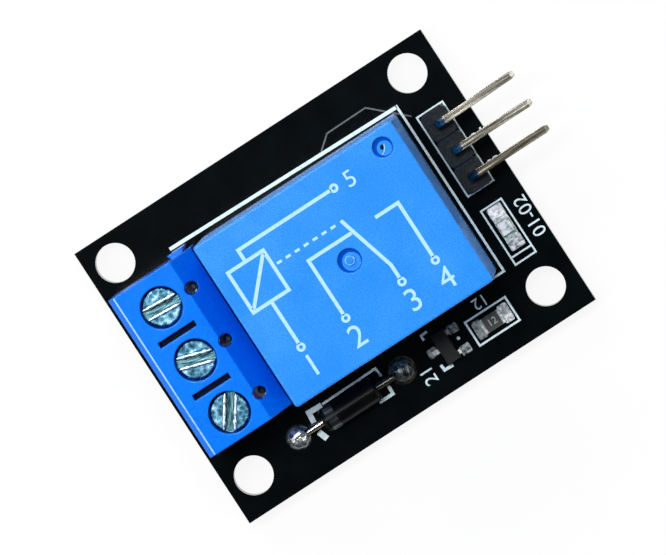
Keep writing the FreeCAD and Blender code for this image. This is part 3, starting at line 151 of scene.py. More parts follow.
def makeWorkedMetal(name, colours, stretch, scale, roughness, bumpDepth):
    # Rolled, drawn or plated metal: streaks along the working direction, in tone, gloss and height
    material, tree, place = startMaterial(name)
    along = addNode(tree, "ShaderNodeMapping", {"Scale": stretch}, {"Vector": (place, "Object")})
    streak = addNode(tree, "ShaderNodeTexNoise", {"Scale": perMm(scale), "Detail": 4.0, "Roughness": 0.65},
                     {"Vector": (along, 0)})
    colour = addNode(tree, "ShaderNodeValToRGB", {}, {"Fac": (streak, 0)})
    setRamp(colour, [(0.32, colours[0]), (0.5, colours[1]), (0.68, colours[2])])
    gloss = addNode(tree, "ShaderNodeMapRange",
                    {"From Min": 0.3, "From Max": 0.7, "To Min": roughness[0], "To Max": roughness[1]},
                    {0: (streak, 0)})
    rounded = addNode(tree, "ShaderNodeBevel", {"samples": 4, "Radius": 0.06 * millimetre})
    bump = addNode(tree, "ShaderNodeBump", {"Strength": 0.6, "Distance": bumpDepth * millimetre},
                   {"Height": (streak, 0), "Normal": (rounded, 0)})
    shader = addNode(tree, "ShaderNodeBsdfPrincipled", {"Metallic": 1.0},
                     {"Base Color": (colour, 0), "Roughness": (gloss, 0), "Normal": (bump, 0)})
    endMaterial(tree, shader)
    return material


def makeScrewZinc():
    # Zinc plated steel with a clear chromate: crystal patches from pale blue to dark teal, with a
    # rough bump, because the soft plating takes every mark of the driver
    material, tree, place = startMaterial("zinc plated steel with clear chromate")
    patches = addNode(tree, "ShaderNodeTexVoronoi", {"Scale": perMm(0.4), "Randomness": 1.0},
                      {"Vector": (place, "Object")})
    cloud = addNode(tree, "ShaderNodeTexNoise", {"Scale": perMm(0.5), "Detail": 5.0, "Roughness": 0.78},
                    {"Vector": (place, "Object")})
    both = addNode(tree, "ShaderNodeMix", {"data_type": "FLOAT", 0: 0.35}, {2: (cloud, 0), 3: (patches, 0)})
    colour = addNode(tree, "ShaderNodeValToRGB", {}, {"Fac": (both, 0)})
    setRamp(colour, [(0.3, "#0f2a33"), (0.45, "#315b70"), (0.57, "#5a8aa3"), (0.72, "#b8dae6")])
    gloss = addNode(tree, "ShaderNodeMapRange",
                    {"From Min": 0.3, "From Max": 0.7, "To Min": 0.34, "To Max": 0.22},
                    {0: (cloud, 0)})
    rounded = addNode(tree, "ShaderNodeBevel", {"samples": 4, "Radius": 0.14 * millimetre})
    bump = addNode(tree, "ShaderNodeBump", {"Strength": 0.5, "Distance": 0.028 * millimetre},
                   {"Height": (both, 0), "Normal": (rounded, 0)})
    shader = addNode(tree, "ShaderNodeBsdfPrincipled", {"Metallic": 1.0},
                     {"Base Color": (colour, 0), "Roughness": (gloss, 0), "Normal": (bump, 0)})
    endMaterial(tree, shader)
    return material


def makeSlotMetal():
    # Plated steel that drivers have scraped: streaks along the slot, from dark teal to nearly white.
    # The UV map spans the whole floor, so they are about 1.5 mm long and 0.06 mm wide.
    material, tree, place = startMaterial("zinc plated steel, scraped by drivers")
    along = addNode(tree, "ShaderNodeMapping", {"Scale": (1.6, 9.0, 1.0)}, {"Vector": (place, "UV")})
    streak = addNode(tree, "ShaderNodeTexNoise", {"Scale": 1.3, "Detail": 5.0, "Roughness": 0.7},
                     {"Vector": (along, 0)})
    colour = addNode(tree, "ShaderNodeValToRGB", {}, {"Fac": (streak, 0)})
    setRamp(colour, [(0.4, "#051b1e"), (0.49, "#294b54"), (0.58, "#6896a4"), (0.7, "#cfe8ec")])
    bump = addNode(tree, "ShaderNodeBump", {"Strength": 0.6, "Distance": 0.03 * millimetre},
                   {"Height": (streak, 0)})
    shader = addNode(tree, "ShaderNodeBsdfPrincipled", {"Metallic": 1.0, "Roughness": 0.34},
                     {"Base Color": (colour, 0), "Normal": (bump, 0)})
    endMaterial(tree, shader)
    return material


diodeBand = {"from": -6.55, "to": -5.75}      # along X, in millimetres


def makeDiodeCompound():
    # Moulded epoxy compound with a worn grey band printed at its marked end
    material, tree, place = startMaterial("moulded epoxy with printed band")
    split = addNode(tree, "ShaderNodeSeparateXYZ", {}, {"Vector": (place, "Object")})
    start = addNode(tree, "ShaderNodeMath", {"operation": "GREATER_THAN", 1: diodeBand["from"] * millimetre},
                    {0: (split, "X")})
    stop = addNode(tree, "ShaderNodeMath", {"operation": "LESS_THAN", 1: diodeBand["to"] * millimetre},
                   {0: (split, "X")})
    band = addNode(tree, "ShaderNodeMath", {"operation": "MULTIPLY"}, {0: (start, 0), 1: (stop, 0)})
    drag = addNode(tree, "ShaderNodeMapping", {"Scale": (0.25, 1.0, 1.0)}, {"Vector": (place, "Object")})
    wear = addNode(tree, "ShaderNodeTexNoise", {"Scale": perMm(0.5), "Detail": 4.0}, {"Vector": (drag, 0)})
    black = addNode(tree, "ShaderNodeValToRGB", {}, {"Fac": (wear, 0)})
    setRamp(black, [(0.35, "#060708"), (0.62, "#0c0e10"), (0.75, "#1f2224")])
    grey = addNode(tree, "ShaderNodeValToRGB", {}, {"Fac": (wear, 0)})
    setRamp(grey, [(0.4, "#101214"), (0.55, "#33373a"), (0.72, "#7d8285")])
    colour = addNode(tree, "ShaderNodeMix", {"data_type": "RGBA"}, {0: (band, 0), 6: (black, 0), 7: (grey, 0)})
    rounded = addNode(tree, "ShaderNodeBevel", {"samples": 4, "Radius": 0.12 * millimetre})
    bump = addNode(tree, "ShaderNodeBump", {"Strength": 0.4, "Distance": 0.03 * millimetre},
                   {"Height": (wear, 0), "Normal": (rounded, 0)})
    shader = addNode(tree, "ShaderNodeBsdfPrincipled", {"Roughness": 0.3, "Specular IOR Level": 0.12},
                     {"Base Color": (colour, 2), "Normal": (bump, 0)})
    endMaterial(tree, shader)
    return material


def makePrintedInk(name, colours, roughness, mottleSize):
    # Screen printed ink: an even flat film, thin in places so that it looks slightly mottled
    material, tree, place = startMaterial(name)
    mottle = addNode(tree, "ShaderNodeTexNoise", {"Scale": perMm(mottleSize), "Detail": 4.0, "Roughness": 0.7},
                     {"Vector": (place, "Object")})
    colour = addNode(tree, "ShaderNodeValToRGB", {}, {"Fac": (mottle, 0)})
    setRamp(colour, [(0.33, colours[0]), (0.5, colours[1])])
    bump = addNode(tree, "ShaderNodeBump", {"Strength": 0.2, "Distance": 0.01 * millimetre},
                   {"Height": (mottle, 0)})
    shader = addNode(tree, "ShaderNodeBsdfPrincipled", {"Roughness": roughness},
                     {"Base Color": (colour, 0), "Normal": (bump, 0)})
    endMaterial(tree, shader)
    return material


def makeRosin():
    # Dried rosin flux: a brown glassy film that darkens the edge of a hand soldered joint
    material, tree, place = startMaterial("dried rosin flux")
    depth = addNode(tree, "ShaderNodeTexNoise", {"Scale": perMm(0.5), "Detail": 3.0},
                    {"Vector": (place, "Object")})
    colour = addNode(tree, "ShaderNodeValToRGB", {}, {"Fac": (depth, 0)})
    setRamp(colour, [(0.35, "#15110d"), (0.55, "#3b2f24"), (0.7, "#6b5b49")])
    shader = addNode(tree, "ShaderNodeBsdfPrincipled", {"Roughness": 0.12}, {"Base Color": (colour, 0)})
    endMaterial(tree, shader)
    return material


def makeWinding():
    # Enamelled copper wire in close turns. The wire is 0.08 mm, drawn as 0.25 mm so that it shows.
    material, tree, place = startMaterial("enamelled copper winding")
    turns = addNode(tree, "ShaderNodeTexWave", {"bands_direction": "Z", "Scale": perMm(0.8), "Distortion": 0.4},
                    {"Vector": (place, "Object")})
    colour = addNode(tree, "ShaderNodeValToRGB", {}, {"Fac": (turns, 1)})
    setRamp(colour, [(0.0, "#5a2208"), (0.5, "#a8521d"), (1.0, "#d68a4a")])
    bump = addNode(tree, "ShaderNodeBump", {"Strength": 0.8, "Distance": 0.05 * millimetre},
                   {"Height": (turns, 1)})
    shader = addNode(tree, "ShaderNodeBsdfPrincipled", {"Metallic": 0.6, "Roughness": 0.35},
                     {"Base Color": (colour, 0), "Normal": (bump, 0)})
    endMaterial(tree, shader)
    return material


def makeCastEpoxy():
    # Clear cast epoxy over the lamp's die: glassy with a milky haze and a few grey specks
    material, tree, place = startMaterial("clear cast epoxy")
    haze = addNode(tree, "ShaderNodeTexNoise", {"Scale": perMm(0.4), "Detail": 4.0},
                   {"Vector": (place, "Object")})
    tint = addNode(tree, "ShaderNodeValToRGB", {}, {"Fac": (haze, 0)})
    setRamp(tint, [(0.36, "#9fb0b4"), (0.45, "#dbe6e3"), (0.62, "#ffffff")])
    cloudy = addNode(tree, "ShaderNodeMapRange",
                     {"From Min": 0.35, "From Max": 0.7, "To Min": 0.82, "To Max": 0.97},
                     {0: (haze, 0)})
    clear = addNode(tree, "ShaderNodeBsdfPrincipled", {"Roughness": 0.12, "IOR": 1.5, "Transmission Weight": 1.0},
                    {"Base Color": (tint, 0)})
    milk = addNode(tree, "ShaderNodeBsdfPrincipled", {"Roughness": 0.25}, {"Base Color": (tint, 0)})
    both = addNode(tree, "ShaderNodeMixShader", {}, {0: (cloudy, 0), 1: (clear, 0), 2: (milk, 0)})
    endMaterial(tree, both)
    return material


def makeSolder(name, colours, roughness, metallic=1.0, grain=0.7):
    # Solder that froze smooth and wet looking, with slow dents that are darker in their hollows
    material, tree, place = startMaterial(name)
    dents = addNode(tree, "ShaderNodeTexNoise", {"Scale": perMm(grain), "Detail": 3.0},
                    {"Vector": (place, "Object")})
    colour = addNode(tree, "ShaderNodeValToRGB", {}, {"Fac": (dents, 0)})
    setRamp(colour, [(0.35, colours[0]), (0.6, colours[1])])
    gloss = addNode(tree, "ShaderNodeMapRange",
                    {"From Min": 0.3, "From Max": 0.7, "To Min": roughness[0], "To Max": roughness[1]},
                    {0: (dents, 0)})
    bump = addNode(tree, "ShaderNodeBump", {"Strength": 0.5, "Distance": 0.12 * millimetre},
                   {"Height": (dents, 0)})
    shader = addNode(tree, "ShaderNodeBsdfPrincipled", {"Metallic": metallic},
                     {"Base Color": (colour, 0), "Roughness": (gloss, 0), "Normal": (bump, 0)})
    endMaterial(tree, shader)
    return material


def makeFloorCard():
    # Matt white card: white to the camera and in reflections, with the object's soft shadow kept
    material, tree, place = startMaterial("matt white card")
    fibre = addNode(tree, "ShaderNodeTexNoise", {"Scale": perMm(1.5), "Detail": 2.0},
                    {"Vector": (place, "Object")})
    tone = addNode(tree, "ShaderNodeValToRGB", {}, {"Fac": (fibre, 0)})
    setRamp(tone, [(0.3, "#f2f2f2"), (0.7, "#f5f5f5")])
    card = addNode(tree, "ShaderNodeBsdfPrincipled", {"Roughness": 0.9, "Specular IOR Level": 0.1},
                   {"Base Color": (tone, 0)})
    light = addNode(tree, "ShaderNodeEmission", {"Strength": 1.0})
    seen = addNode(tree, "ShaderNodeLightPath")
    direct = addNode(tree, "ShaderNodeMath", {"operation": "MAXIMUM"},
                     {0: (seen, "Is Camera Ray"), 1: (seen, "Is Glossy Ray")})
    through = addNode(tree, "ShaderNodeMath", {"operation": "MAXIMUM"},
                      {0: (direct, 0), 1: (seen, "Is Transmission Ray")})
    share = addNode(tree, "ShaderNodeMath", {"operation": "MULTIPLY", 1: 0.9}, {0: (through, 0)})
    both = addNode(tree, "ShaderNodeMixShader", {}, {0: (share, 0), 1: (card, 0), 2: (light, 0)})
    endMaterial(tree, both)
    return material


solderMask = makeSolderMask()
relayPlastic = makeMouldedPlastic("moulded PBT, sparked grain", ("#1a82ea", "#268df3", "#52abff"), grain=0.09,
                                  bumpDepth=0.005, roughness=0.2, edgeRadius=0.15, specular=0.22)
terminalPlastic = makeMouldedPlastic("moulded polyamide, gloss", ("#006fea", "#0079f6"), grain=0.3,
                                     bumpDepth=0.002, roughness=0.15, edgeRadius=0.2, specular=0.25)
headerPlastic = makeMouldedPlastic("moulded polyamide, black", ("#080d11", "#10181e", "#222c34"), grain=0.22,
                                   bumpDepth=0.02, roughness=0.25, edgeRadius=0.1, specular=0.12)
basePlastic = makeMouldedPlastic("moulded PBT, black base", ("#16181b", "#222529"), grain=0.25,
                                 bumpDepth=0.02, roughness=0.5, edgeRadius=0.1)
bobbinPlastic = makeMouldedPlastic("moulded PBT, natural", ("#cfc7b4", "#e2dccb"), grain=0.3,
                                   bumpDepth=0.01, roughness=0.45, edgeRadius=0.1)
compound = makeMouldedPlastic("moulded epoxy compound", ("#07090a", "#0d1012"), grain=0.15,
                              bumpDepth=0.02, roughness=0.35, edgeRadius=0.08, specular=0.15)
# Pale plastic for painted highlights: the line along the terminal's front edge and the pale line at the vent
highlightPlastic = makeMouldedPlastic("moulded polyamide, painted highlight", ("#69b2fb", "#9ccfff"), grain=0.2,
                                 bumpDepth=0.01, roughness=0.35, edgeRadius=0.05, specular=0.4)
slugPlastic = makeMouldedPlastic("moulded PBT, torn cold slug", ("#3d9ff6", "#76c0fc", "#a8dcff"), grain=0.12,
                                 bumpDepth=0.03, roughness=0.4, edgeRadius=0.03, specular=0.4)
# Darker blue for the painted shade in the gate mark and the vent
dimpleShadePlastic = makeMouldedPlastic("moulded PBT, painted shade in the dimples", ("#0044b0", "#004fbc"), grain=0.12,
                                   bumpDepth=0.005, roughness=0.16, edgeRadius=0.05, specular=0.05)
# Near black plastic for painted shade: in the marker slots, in the vent's slit and in the header's grooves
shadePlastic = makeMouldedPlastic("near black polyamide, painted shade", ("#020d1c", "#03142a"), grain=0.3,
                                 bumpDepth=0.005, roughness=0.6, edgeRadius=0.05, specular=0.05)
diodeCompound = makeDiodeCompound()

# Streaks run along X in wire and spring bronze and along Y in strip and plate; the rest have no direction
tinnedWire = makeWorkedMetal("drawn tinned wire", ("#4f4d44", "#8f8b7f", "#cdc9bd"), stretch=(0.04, 1.0, 1.0),
                             scale=0.2, roughness=(0.14, 0.24), bumpDepth=0.012)
darkWire = makeWorkedMetal("drawn tinned wire, tarnished", ("#35322b", "#656055", "#989282"),
                           stretch=(0.04, 1.0, 1.0), scale=0.2, roughness=(0.16, 0.26), bumpDepth=0.012)
tinnedStrip = makeWorkedMetal("stamped tinned strip", ("#84898b", "#aeb3b4", "#cfd3d3"), stretch=(1.0, 0.2, 1.0),
                              scale=0.4, roughness=(0.25, 0.4), bumpDepth=0.015)
platedIron = makeWorkedMetal("plated soft iron", ("#84837e", "#a8a7a2", "#c6c5c0"), stretch=(1.0, 0.2, 1.0),
                             scale=0.5, roughness=(0.3, 0.42), bumpDepth=0.015)
springBronze = makeWorkedMetal("rolled spring bronze", ("#9a7138", "#bd9152", "#d9b377"), stretch=(0.2, 1.0, 1.0),
                               scale=0.4, roughness=(0.25, 0.36), bumpDepth=0.01)
silverContact = makeWorkedMetal("silver contact alloy", ("#b9b9b4", "#d6d6d1", "#eeeeea"), stretch=(1.0, 1.0, 1.0),
                                scale=0.3, roughness=(0.18, 0.3), bumpDepth=0.01)
chipTin = makeWorkedMetal("dipped tin ends", ("#5f6668", "#8f9799", "#c6cccc"), stretch=(1.0, 1.0, 1.0),
                          scale=0.3, roughness=(0.35, 0.5), bumpDepth=0.03)
burrMetal = makeWorkedMetal("burred zinc plate", ("#7fa9b8", "#c2dfe6", "#f2fbfd"), stretch=(1.0, 1.0, 1.0),
                            scale=0.2, roughness=(0.3, 0.45), bumpDepth=0.03)
screwZinc = makeScrewZinc()
slotMetal = makeSlotMetal()

boardInk = makePrintedInk("screen printed legend ink", ("#bcd6da", "#e2f6f9"), roughness=0.55, mottleSize=0.3)
relayInk = makePrintedInk("pad printed pale blue ink", ("#92cdf8", "#a9dcfb"), roughness=0.5, mottleSize=0.25)
chipInk = makePrintedInk("screen printed chip mark", ("#8d9294", "#b5babb"), roughness=0.5, mottleSize=0.1)
greenInk = makePrintedInk("green polarity ink", ("#2c8f6c", "#48b48b"), roughness=0.5, mottleSize=0.15)
traceMask = makePrintedInk("solder mask over a copper trace", ("#1c2427", "#343f43"), roughness=0.4,
                           mottleSize=0.3)
# These bodies are evenly mottled, as the inks are
alumina = makePrintedInk("sintered alumina", ("#d9d6cf", "#efece6"), roughness=0.5, mottleSize=0.2)
resistorGlaze = makePrintedInk("fired black glaze", ("#0d0f10", "#17191b"), roughness=0.35, mottleSize=0.4)
lampLaminate = makePrintedInk("white laminate", ("#cdd3cf", "#e9eeea"), roughness=0.45, mottleSize=0.3)
lampDie = makePrintedInk("sawn chip die", ("#2a2f33", "#59626a"), roughness=0.3, mottleSize=0.08)

copperWinding = makeWinding()
castEpoxy = makeCastEpoxy()
rosin = makeRosin()
brightSolder = makeSolder("bright solder", ("#a8aaa8", "#dcdedb"), (0.1, 0.24))
padSolder = makeSolder("levelled solder", ("#8f9697", "#cdd3d3"), (0.28, 0.45))
# Reflowed solder darkened with painted shade, for the pads in the relay's shadow
shadedSolder = makeSolder("reflowed solder, painted shade", ("#1e2325", "#8d9595"), (0.3, 0.5), metallic=0.5, grain=0.35)
# Solder made near white and hardly metallic: a painted highlight, for the lamp's pads and the lit resistor pad
litSolder = makeSolder("thick solder, painted highlight", ("#7f8d94", "#ffffff"), (0.3, 0.5), metallic=0.1, grain=0.35)
domeSolder = makeSolder("hand soldered dome", ("#4b5254", "#e6eaea"), (0.14, 0.3), metallic=0.9, grain=0.42)
# The darker dome is dulled by flux and also darkened with painted shade of the relay
fluxAndShadeDome = makeSolder("hand soldered dome under flux, painted shade", ("#1e2322", "#8b928d"), (0.2, 0.36), metallic=0.85,
                      grain=0.42)
# Tin darkened with painted shade, for the ends seen down the probe holes
holeShadeTin = makeSolder("tin with painted shade of its hole", ("#08131a", "#33505f"), (0.35, 0.5), metallic=0.4, grain=0.3)
print("materials made:", len(bpy.data.materials))


# Finishes of the frame's own nodes; a node that isn't listed is solder

nodeFinishes = [
    (solderMask, ["circuit_board"]),
    (relayPlastic, ["relay_cover"]),
    (basePlastic, ["relay_base"]),
    (bobbinPlastic, ["relay_bobbin"]),
    (copperWinding, ["relay_winding"]),
    (platedIron, ["relay_core", "relay_yoke", "relay_armature"]),
    (springBronze, ["contact_spring", "closed_contact", "open_contact"]),
    (silverContact, ["moving_contact", "closed_contact_button", "open_contact_button"]),
    (terminalPlastic, ["terminal_housing"]),
    (screwZinc, ["clamp_screw_1", "clamp_screw_2", "clamp_screw_3"]),
    (tinnedStrip, ["clamp_cage_1", "clamp_cage_2", "clamp_cage_3", "clamp_bar_1", "clamp_bar_2", "clamp_bar_3",
                   "common_pin", "transistor_leads"]),
    (headerPlastic, ["header_block"]),
    (tinnedWire, ["header_pin_1", "header_pin_2", "coil_pin_1", "coil_pin_2", "diode_lead_1"]),
    (darkWire, ["header_pin_3", "diode_lead_2"]),
    (diodeCompound, ["diode_body"]),
    (compound, ["transistor_body"]),
    (alumina, ["resistor_body"]),
    (resistorGlaze, ["resistor_coat"]),
    (chipTin, ["resistor_caps", "lamp_caps"]),
    (lampLaminate, ["lamp_base"]),
    (lampDie, ["lamp_die"]),
    (castEpoxy, ["lamp_lens"]),
]
finishOf = {name: finish for finish, names in nodeFinishes for name in names}
for name, node in nodes.items():
    finish = finishOf.get(name, padSolder)
    if not node.material_slots:
        node.data.materials.append(finish)
    for place in range(len(node.material_slots)):
        node.material_slots[place].material = finish
print("nodes finished:", len(nodes))


# Small helpers for modelling. All their sizes and places are in millimetres.

weldDistance = 0.02      # finer than the thinnest printed line
sharpestMitre = 0.3      # keeps the point of a sharp joint short
smallest = 1e-6          # turns and stretches below this are left out


def deselectAll():
    if bpy.context.mode != "OBJECT":
        bpy.ops.object.mode_set(mode="OBJECT")
    bpy.ops.object.select_all(action="DESELECT")


def pickAll():
    bpy.ops.mesh.select_mode(type="FACE")
    bpy.ops.mesh.select_all(action="SELECT")


def pickVerts(wanted):
    # In edit mode, selects only the vertices that wanted accepts by their place
    bpy.ops.mesh.select_mode(type="VERT")
    bpy.ops.mesh.select_all(action="DESELECT")
    shape = bmesh.from_edit_mesh(bpy.context.object.data)
    for vert in shape.verts:
        vert.select_set(wanted(vert.co))
    shape.select_flush_mode()
    bmesh.update_edit_mesh(bpy.context.object.data)


def drawOut(x, y, z, share=1.0, wide=None):
    # In edit mode, extrudes the chosen face by x, y, z and then narrows it by its share
    way = (x * millimetre, y * millimetre, z * millimetre)
    bpy.ops.mesh.extrude_region_move(TRANSFORM_OT_translate={"value": way})
    if share != 1.0:
        bpy.ops.transform.resize(value=wide or (share, share, 1))


def startDisc(x, y, level, radius, sides, turn=(0, 0, 0)):
    # A filled circle, open in edit mode with its face chosen: the start of a drawn out piece
    deselectAll()
    bpy.ops.mesh.primitive_circle_add(vertices=sides, radius=radius * millimetre, fill_type="NGON", rotation=turn,
                                      location=(x * millimetre, y * millimetre, level * millimetre))
    bpy.ops.object.transform_apply(location=True, rotation=True, scale=True)
    bpy.ops.object.mode_set(mode="EDIT")
    pickAll()


def closeMesh(rounding=0):
    # Turns all faces outwards and leaves edit mode; rounding is a number of subdivision levels
    bpy.ops.mesh.select_all(action="SELECT")
    bpy.ops.mesh.normals_make_consistent(inside=False)
    bpy.ops.object.mode_set(mode="OBJECT")
    if rounding:
        bpy.ops.object.modifier_add(type="SUBSURF")
        smoothing = bpy.context.object.modifiers[-1]
        smoothing.levels = smoothing.render_levels = rounding
        bpy.ops.object.modifier_apply(modifier=smoothing.name)


def finishPiece(name, finish, body="board", replaces=(), smooth=None):
    # Puts the place into the mesh and gives the piece its name, finish and body
    piece = bpy.context.object
    piece.name = name
    piece.data.name = name
    bpy.ops.object.transform_apply(location=True, rotation=True, scale=True)
    if smooth is not None:
        bpy.ops.object.shade_smooth_by_angle(angle=math.radians(smooth))
    piece.data.materials.clear()
    piece.data.materials.append(finish)
    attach(piece, body)
    if replaces:
        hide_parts(*replaces)
    deselectAll()


def newSketch():
    # An empty mesh opened in edit mode, to draw flat shapes into
    deselectAll()
    bpy.ops.mesh.primitive_plane_add(size=millimetre)
    bpy.ops.object.mode_set(mode="EDIT")
    bpy.ops.mesh.delete(type="VERT")


def drawStroke(points, width, level, closed=False):
    # One printed line: a small plane drawn out along its points, each joint turned to its mitre.
    # It is called in edit mode and adds to the mesh that is open.
    spots = [Vector((x * millimetre, y * millimetre, level * millimetre)) for x, y in points]
    wide = width * millimetre
    runs = [(b - a).normalized() for a, b in zip(spots, spots[1:] + spots[:1])]
    last = len(spots) - 1
    mitres = []
    for place in range(len(spots)):
        before = runs[place - 1] if place > 0 or closed else runs[0]
        after = runs[place] if place < last or closed else runs[last - 1]
        middle = (before + after).normalized()
        mitres.append((math.atan2(middle.y, middle.x), 1 / max(middle.dot(after), sharpestMitre)))
    order = list(range(1, len(spots))) + ([0] if closed else [])
    way = math.atan2(runs[0].y, runs[0].x)
    bpy.ops.mesh.primitive_plane_add(size=wide, location=spots[0] + runs[0] * wide / 2, rotation=(0, 0, way))
    shape = bmesh.from_edit_mesh(bpy.context.object.data)
    fresh = [v for v in shape.verts if v.select]
    back = [v for v in fresh if (v.co - spots[0]).dot(runs[0]) < wide / 2]
    front = [v for v in fresh if v not in back]

    def choose(verts):
        bpy.ops.mesh.select_all(action="DESELECT")
        for v in verts:
            v.select_set(True)
        shape.select_flush(True)
        bmesh.update_edit_mesh(bpy.context.object.data)

    def setEnd(turnFrom, turnTo, stretch, at):
        turn = (turnTo - turnFrom + math.pi) % (2 * math.pi) - math.pi
        if abs(turn) > smallest:
            bpy.ops.transform.rotate(value=-turn, orient_axis="Z", center_override=at)
        if abs(stretch - 1) > smallest:
            bpy.ops.transform.resize(value=(stretch, stretch, stretch), center_override=at)

    bpy.ops.mesh.select_mode(type="VERT")
    choose(back)
    setEnd(way, mitres[0][0], mitres[0][1], spots[0])
    choose(front)
    aim, size = way, 1.0
    here = spots[0] + runs[0] * wide
    for step, place in enumerate(order):
        if step:
            bpy.ops.mesh.extrude_region_move(TRANSFORM_OT_translate={"value": spots[place] - here})
        else:
            bpy.ops.transform.translate(value=spots[place] - here)
        setEnd(aim, mitres[place][0], mitres[place][1] / size, spots[place])
        aim, size = mitres[place]
        here = spots[place]


def drawRing(x, y, radius, width, sides, level, shift=(0, 0)):
    # A flat ring, or a dot if its width is its radius. A shift of its hole makes it a crescent.
    bpy.ops.mesh.primitive_circle_add(vertices=sides, radius=radius * millimetre, fill_type="NGON",
                                      location=(x * millimetre, y * millimetre, level * millimetre))
    bpy.ops.mesh.select_mode(type="FACE")
    if width < radius:
        bpy.ops.mesh.inset(thickness=width * millimetre)
        far, way = shift[0] * millimetre, math.radians(shift[1])
        bpy.ops.transform.translate(value=(far * math.cos(way), far * math.sin(way), 0))
        bpy.ops.mesh.delete(type="FACE")


def drawPrint(name, finish, level, values):
    # A flat piece: its lines are (width, points) or (width, points, True) for a closed outline,
    # its rings are (x, y, radius, width, sides), and its film is the height of both
    newSketch()
    for width, points, *closed in values.get("lines", ()):
        drawStroke(points, width, level, bool(closed))
    for ring in values.get("rings", ()):
        drawRing(*ring, level, values.get("shift", (0, 0)))
    pickAll()
    bpy.ops.mesh.remove_doubles(threshold=weldDistance * millimetre)
    bpy.ops.mesh.select_all(action="SELECT")
    drawOut(0, 0, values["film"])
    closeMesh()
    finishPiece(name, finish)


def drawNumber(name, text, x, y, height, turn, level, film, finish, slot):
    # A plain printed number, converted to mesh
    deselectAll()
    bpy.ops.object.text_add(location=(x * millimetre, y * millimetre, (level + film / 2) * millimetre),
                            rotation=(0, 0, math.radians(turn)))
    word = bpy.context.object
    word.data.body = text
    word.data.size = height * millimetre * 1.4      # figures take up 0.7 of the font's size
    word.data.align_x = "CENTER"
    word.data.align_y = "CENTER"
    word.data.extrude = film * millimetre / 2
    bpy.ops.object.convert(target="MESH")
    finishPiece(name, finish)


# Printed legend on the board

boardTop = 1.6
boardLegend = {
    "film": 0.015,
    "lines": [
        (0.3, [(-9.98, 8.95), (12.1, 8.6)]),                                              # beside the relay
        (0.2, [(12.12, 8.75), (12.14, -7.53), (10.9, -7.53)]),
        (0.15, [(13.0, -0.79), (15.5, -0.79), (15.5, 6.94), (13.0, 6.94)], True),         # round the header
        (0.15, [(13.22, -2.38), (15.2, -2.38), (15.22, -7.6), (13.22, -7.62)], True),     # round the lamp
        (0.15, [(13.3, -6.95), (15.14, -6.95)]),
        (0.17, [(7.13, -11.61), (11.04, -11.61), (11.04, -9.35), (7.13, -9.35)], True),   # round the resistor
        (0.2, [(-6.4, -8.6), (-1.12, -8.5), (-1.05, -9.3)]),                              # round the diode
        (0.28, [(-1.0, -10.3), (-1.04, -11.04), (-2.35, -11.04)]),
        (0.45, [(-6.5, -8.62), (-7.72, -8.58), (-7.8, -9.5)]),                            # its marked end
        (0.5, [(-7.9, -10.35), (-7.6, -11.2)]),
        (0.25, [(3.56, -11.2), (3.61, -11.72), (4.42, -11.75)]),                          # transistor corners
        (0.2, [(3.5, -8.75), (3.5, -8.3), (4.1, -8.25)]),
    ],
    "rings": [(5.98, -10.13, 0.14, 0.14, 16)],      # a dot between two transistor pads
}
drawPrint("boardLegend", boardInk, boardTop, boardLegend)

boardNumbers = {
    "film": 0.015,
    "places": {     # x, y, height and turn of each
        "1": (16.45, 5.63, 1.3, 90),
        "2": (16.45, 3.09, 1.3, 90),
        "3": (16.45, 0.55, 1.3, 90),
        "01-02": (16.45, -4.85, 1.15, 90),
        "12": (9.1, -8.55, 1.0, 180),
        "21": (2.3, -11.4, 1.15, 90),
    },
}
for number, spot in boardNumbers["places"].items():
    drawNumber("boardNumber" + number.replace("-", "to"), number, *spot, boardTop, boardNumbers["film"],
               boardInk, "black_board")
print("board legend drawn")


# Print on the relay's cover: a plain contact diagram with its pin numbers

coverTop = 17.0
coverDiagram = {
    "film": 0.006,
    "lines": [
        (0.3, [(-6.0, 1.2), (-2.6, 1.2), (-2.6, 5.0), (-6.0, 5.0)], True),     # coil
        (0.3, [(-5.85, 1.4), (-2.75, 4.8)]),
        (0.3, [(-4.3, 5.15), (-4.3, 6.1), (4.6, 6.1)]),
        (0.3, [(-4.3, 1.05), (-4.3, -2.9)]),
        (0.3, [(5.4, -2.9), (5.4, -1.6), (3.95, 3.6)]),                        # moving contact
        (0.3, [(0.0, -2.9), (0.0, 2.3), (4.15, 2.3)]),
        (0.3, [(8.6, -2.9), (8.6, 2.3), (6.4, 2.3)]),
    ] + [(0.22, [(-2.25 + dash * 0.86, 3.5), (-1.8 + dash * 0.86, 3.5)]) for dash in range(7)],
    "rings": [(x, y, 0.38, 0.22, 24)
              for x, y in ((-4.3, -3.2), (0.0, -3.2), (5.4, -3.2), (8.6, -3.2), (4.9, 6.1))],
}
drawPrint("coverDiagram", relayInk, coverTop, coverDiagram)

coverNumbers = {     # x, y and height of each
    "1": (-4.3, -5.0, 1.9),
    "2": (0.0, -5.0, 1.9),
    "3": (5.4, -5.0, 1.9),
    "4": (8.6, -5.0, 1.9),
    "5": (6.4, 6.0, 1.4),
}
for number, spot in coverNumbers.items():
    drawNumber("coverNumber" + number, number, *spot, 0, coverTop, coverDiagram["film"], relayInk, "relay_blue")
print("relay diagram drawn")


# Soldered joints: a profile drawn out round its lead, ring by ring

joint = {
    "sides": 24,
    "rounding": 2,
    "under": [(0.0, 1.0), (0.04, 1.0), (0.16, 0.86), (0.36, 0.62), (0.62, 0.5), (0.8, 0.44)],     # height, radius
    "dome": [(0.0, 1.1), (0.06, 1.1), (0.3, 1.0), (0.52, 0.78), (0.66, 0.5), (0.72, 0.2)],
    "places": {
        "relay_solder": [(9.29, 0.57), (7.29, 6.57), (7.29, -5.43), (-4.91, 6.57), (-4.91, -5.43)],
        "terminal_solder": [(-9.52, 5.5), (-9.52, 0.42), (-9.52, -4.66)],
        "header_solder": [(14.33, 5.63), (14.33, 3.09), (14.33, 0.55)],
        "diode_solder": [(-9.5, -9.83), (0.66, -9.83)],
    },
}


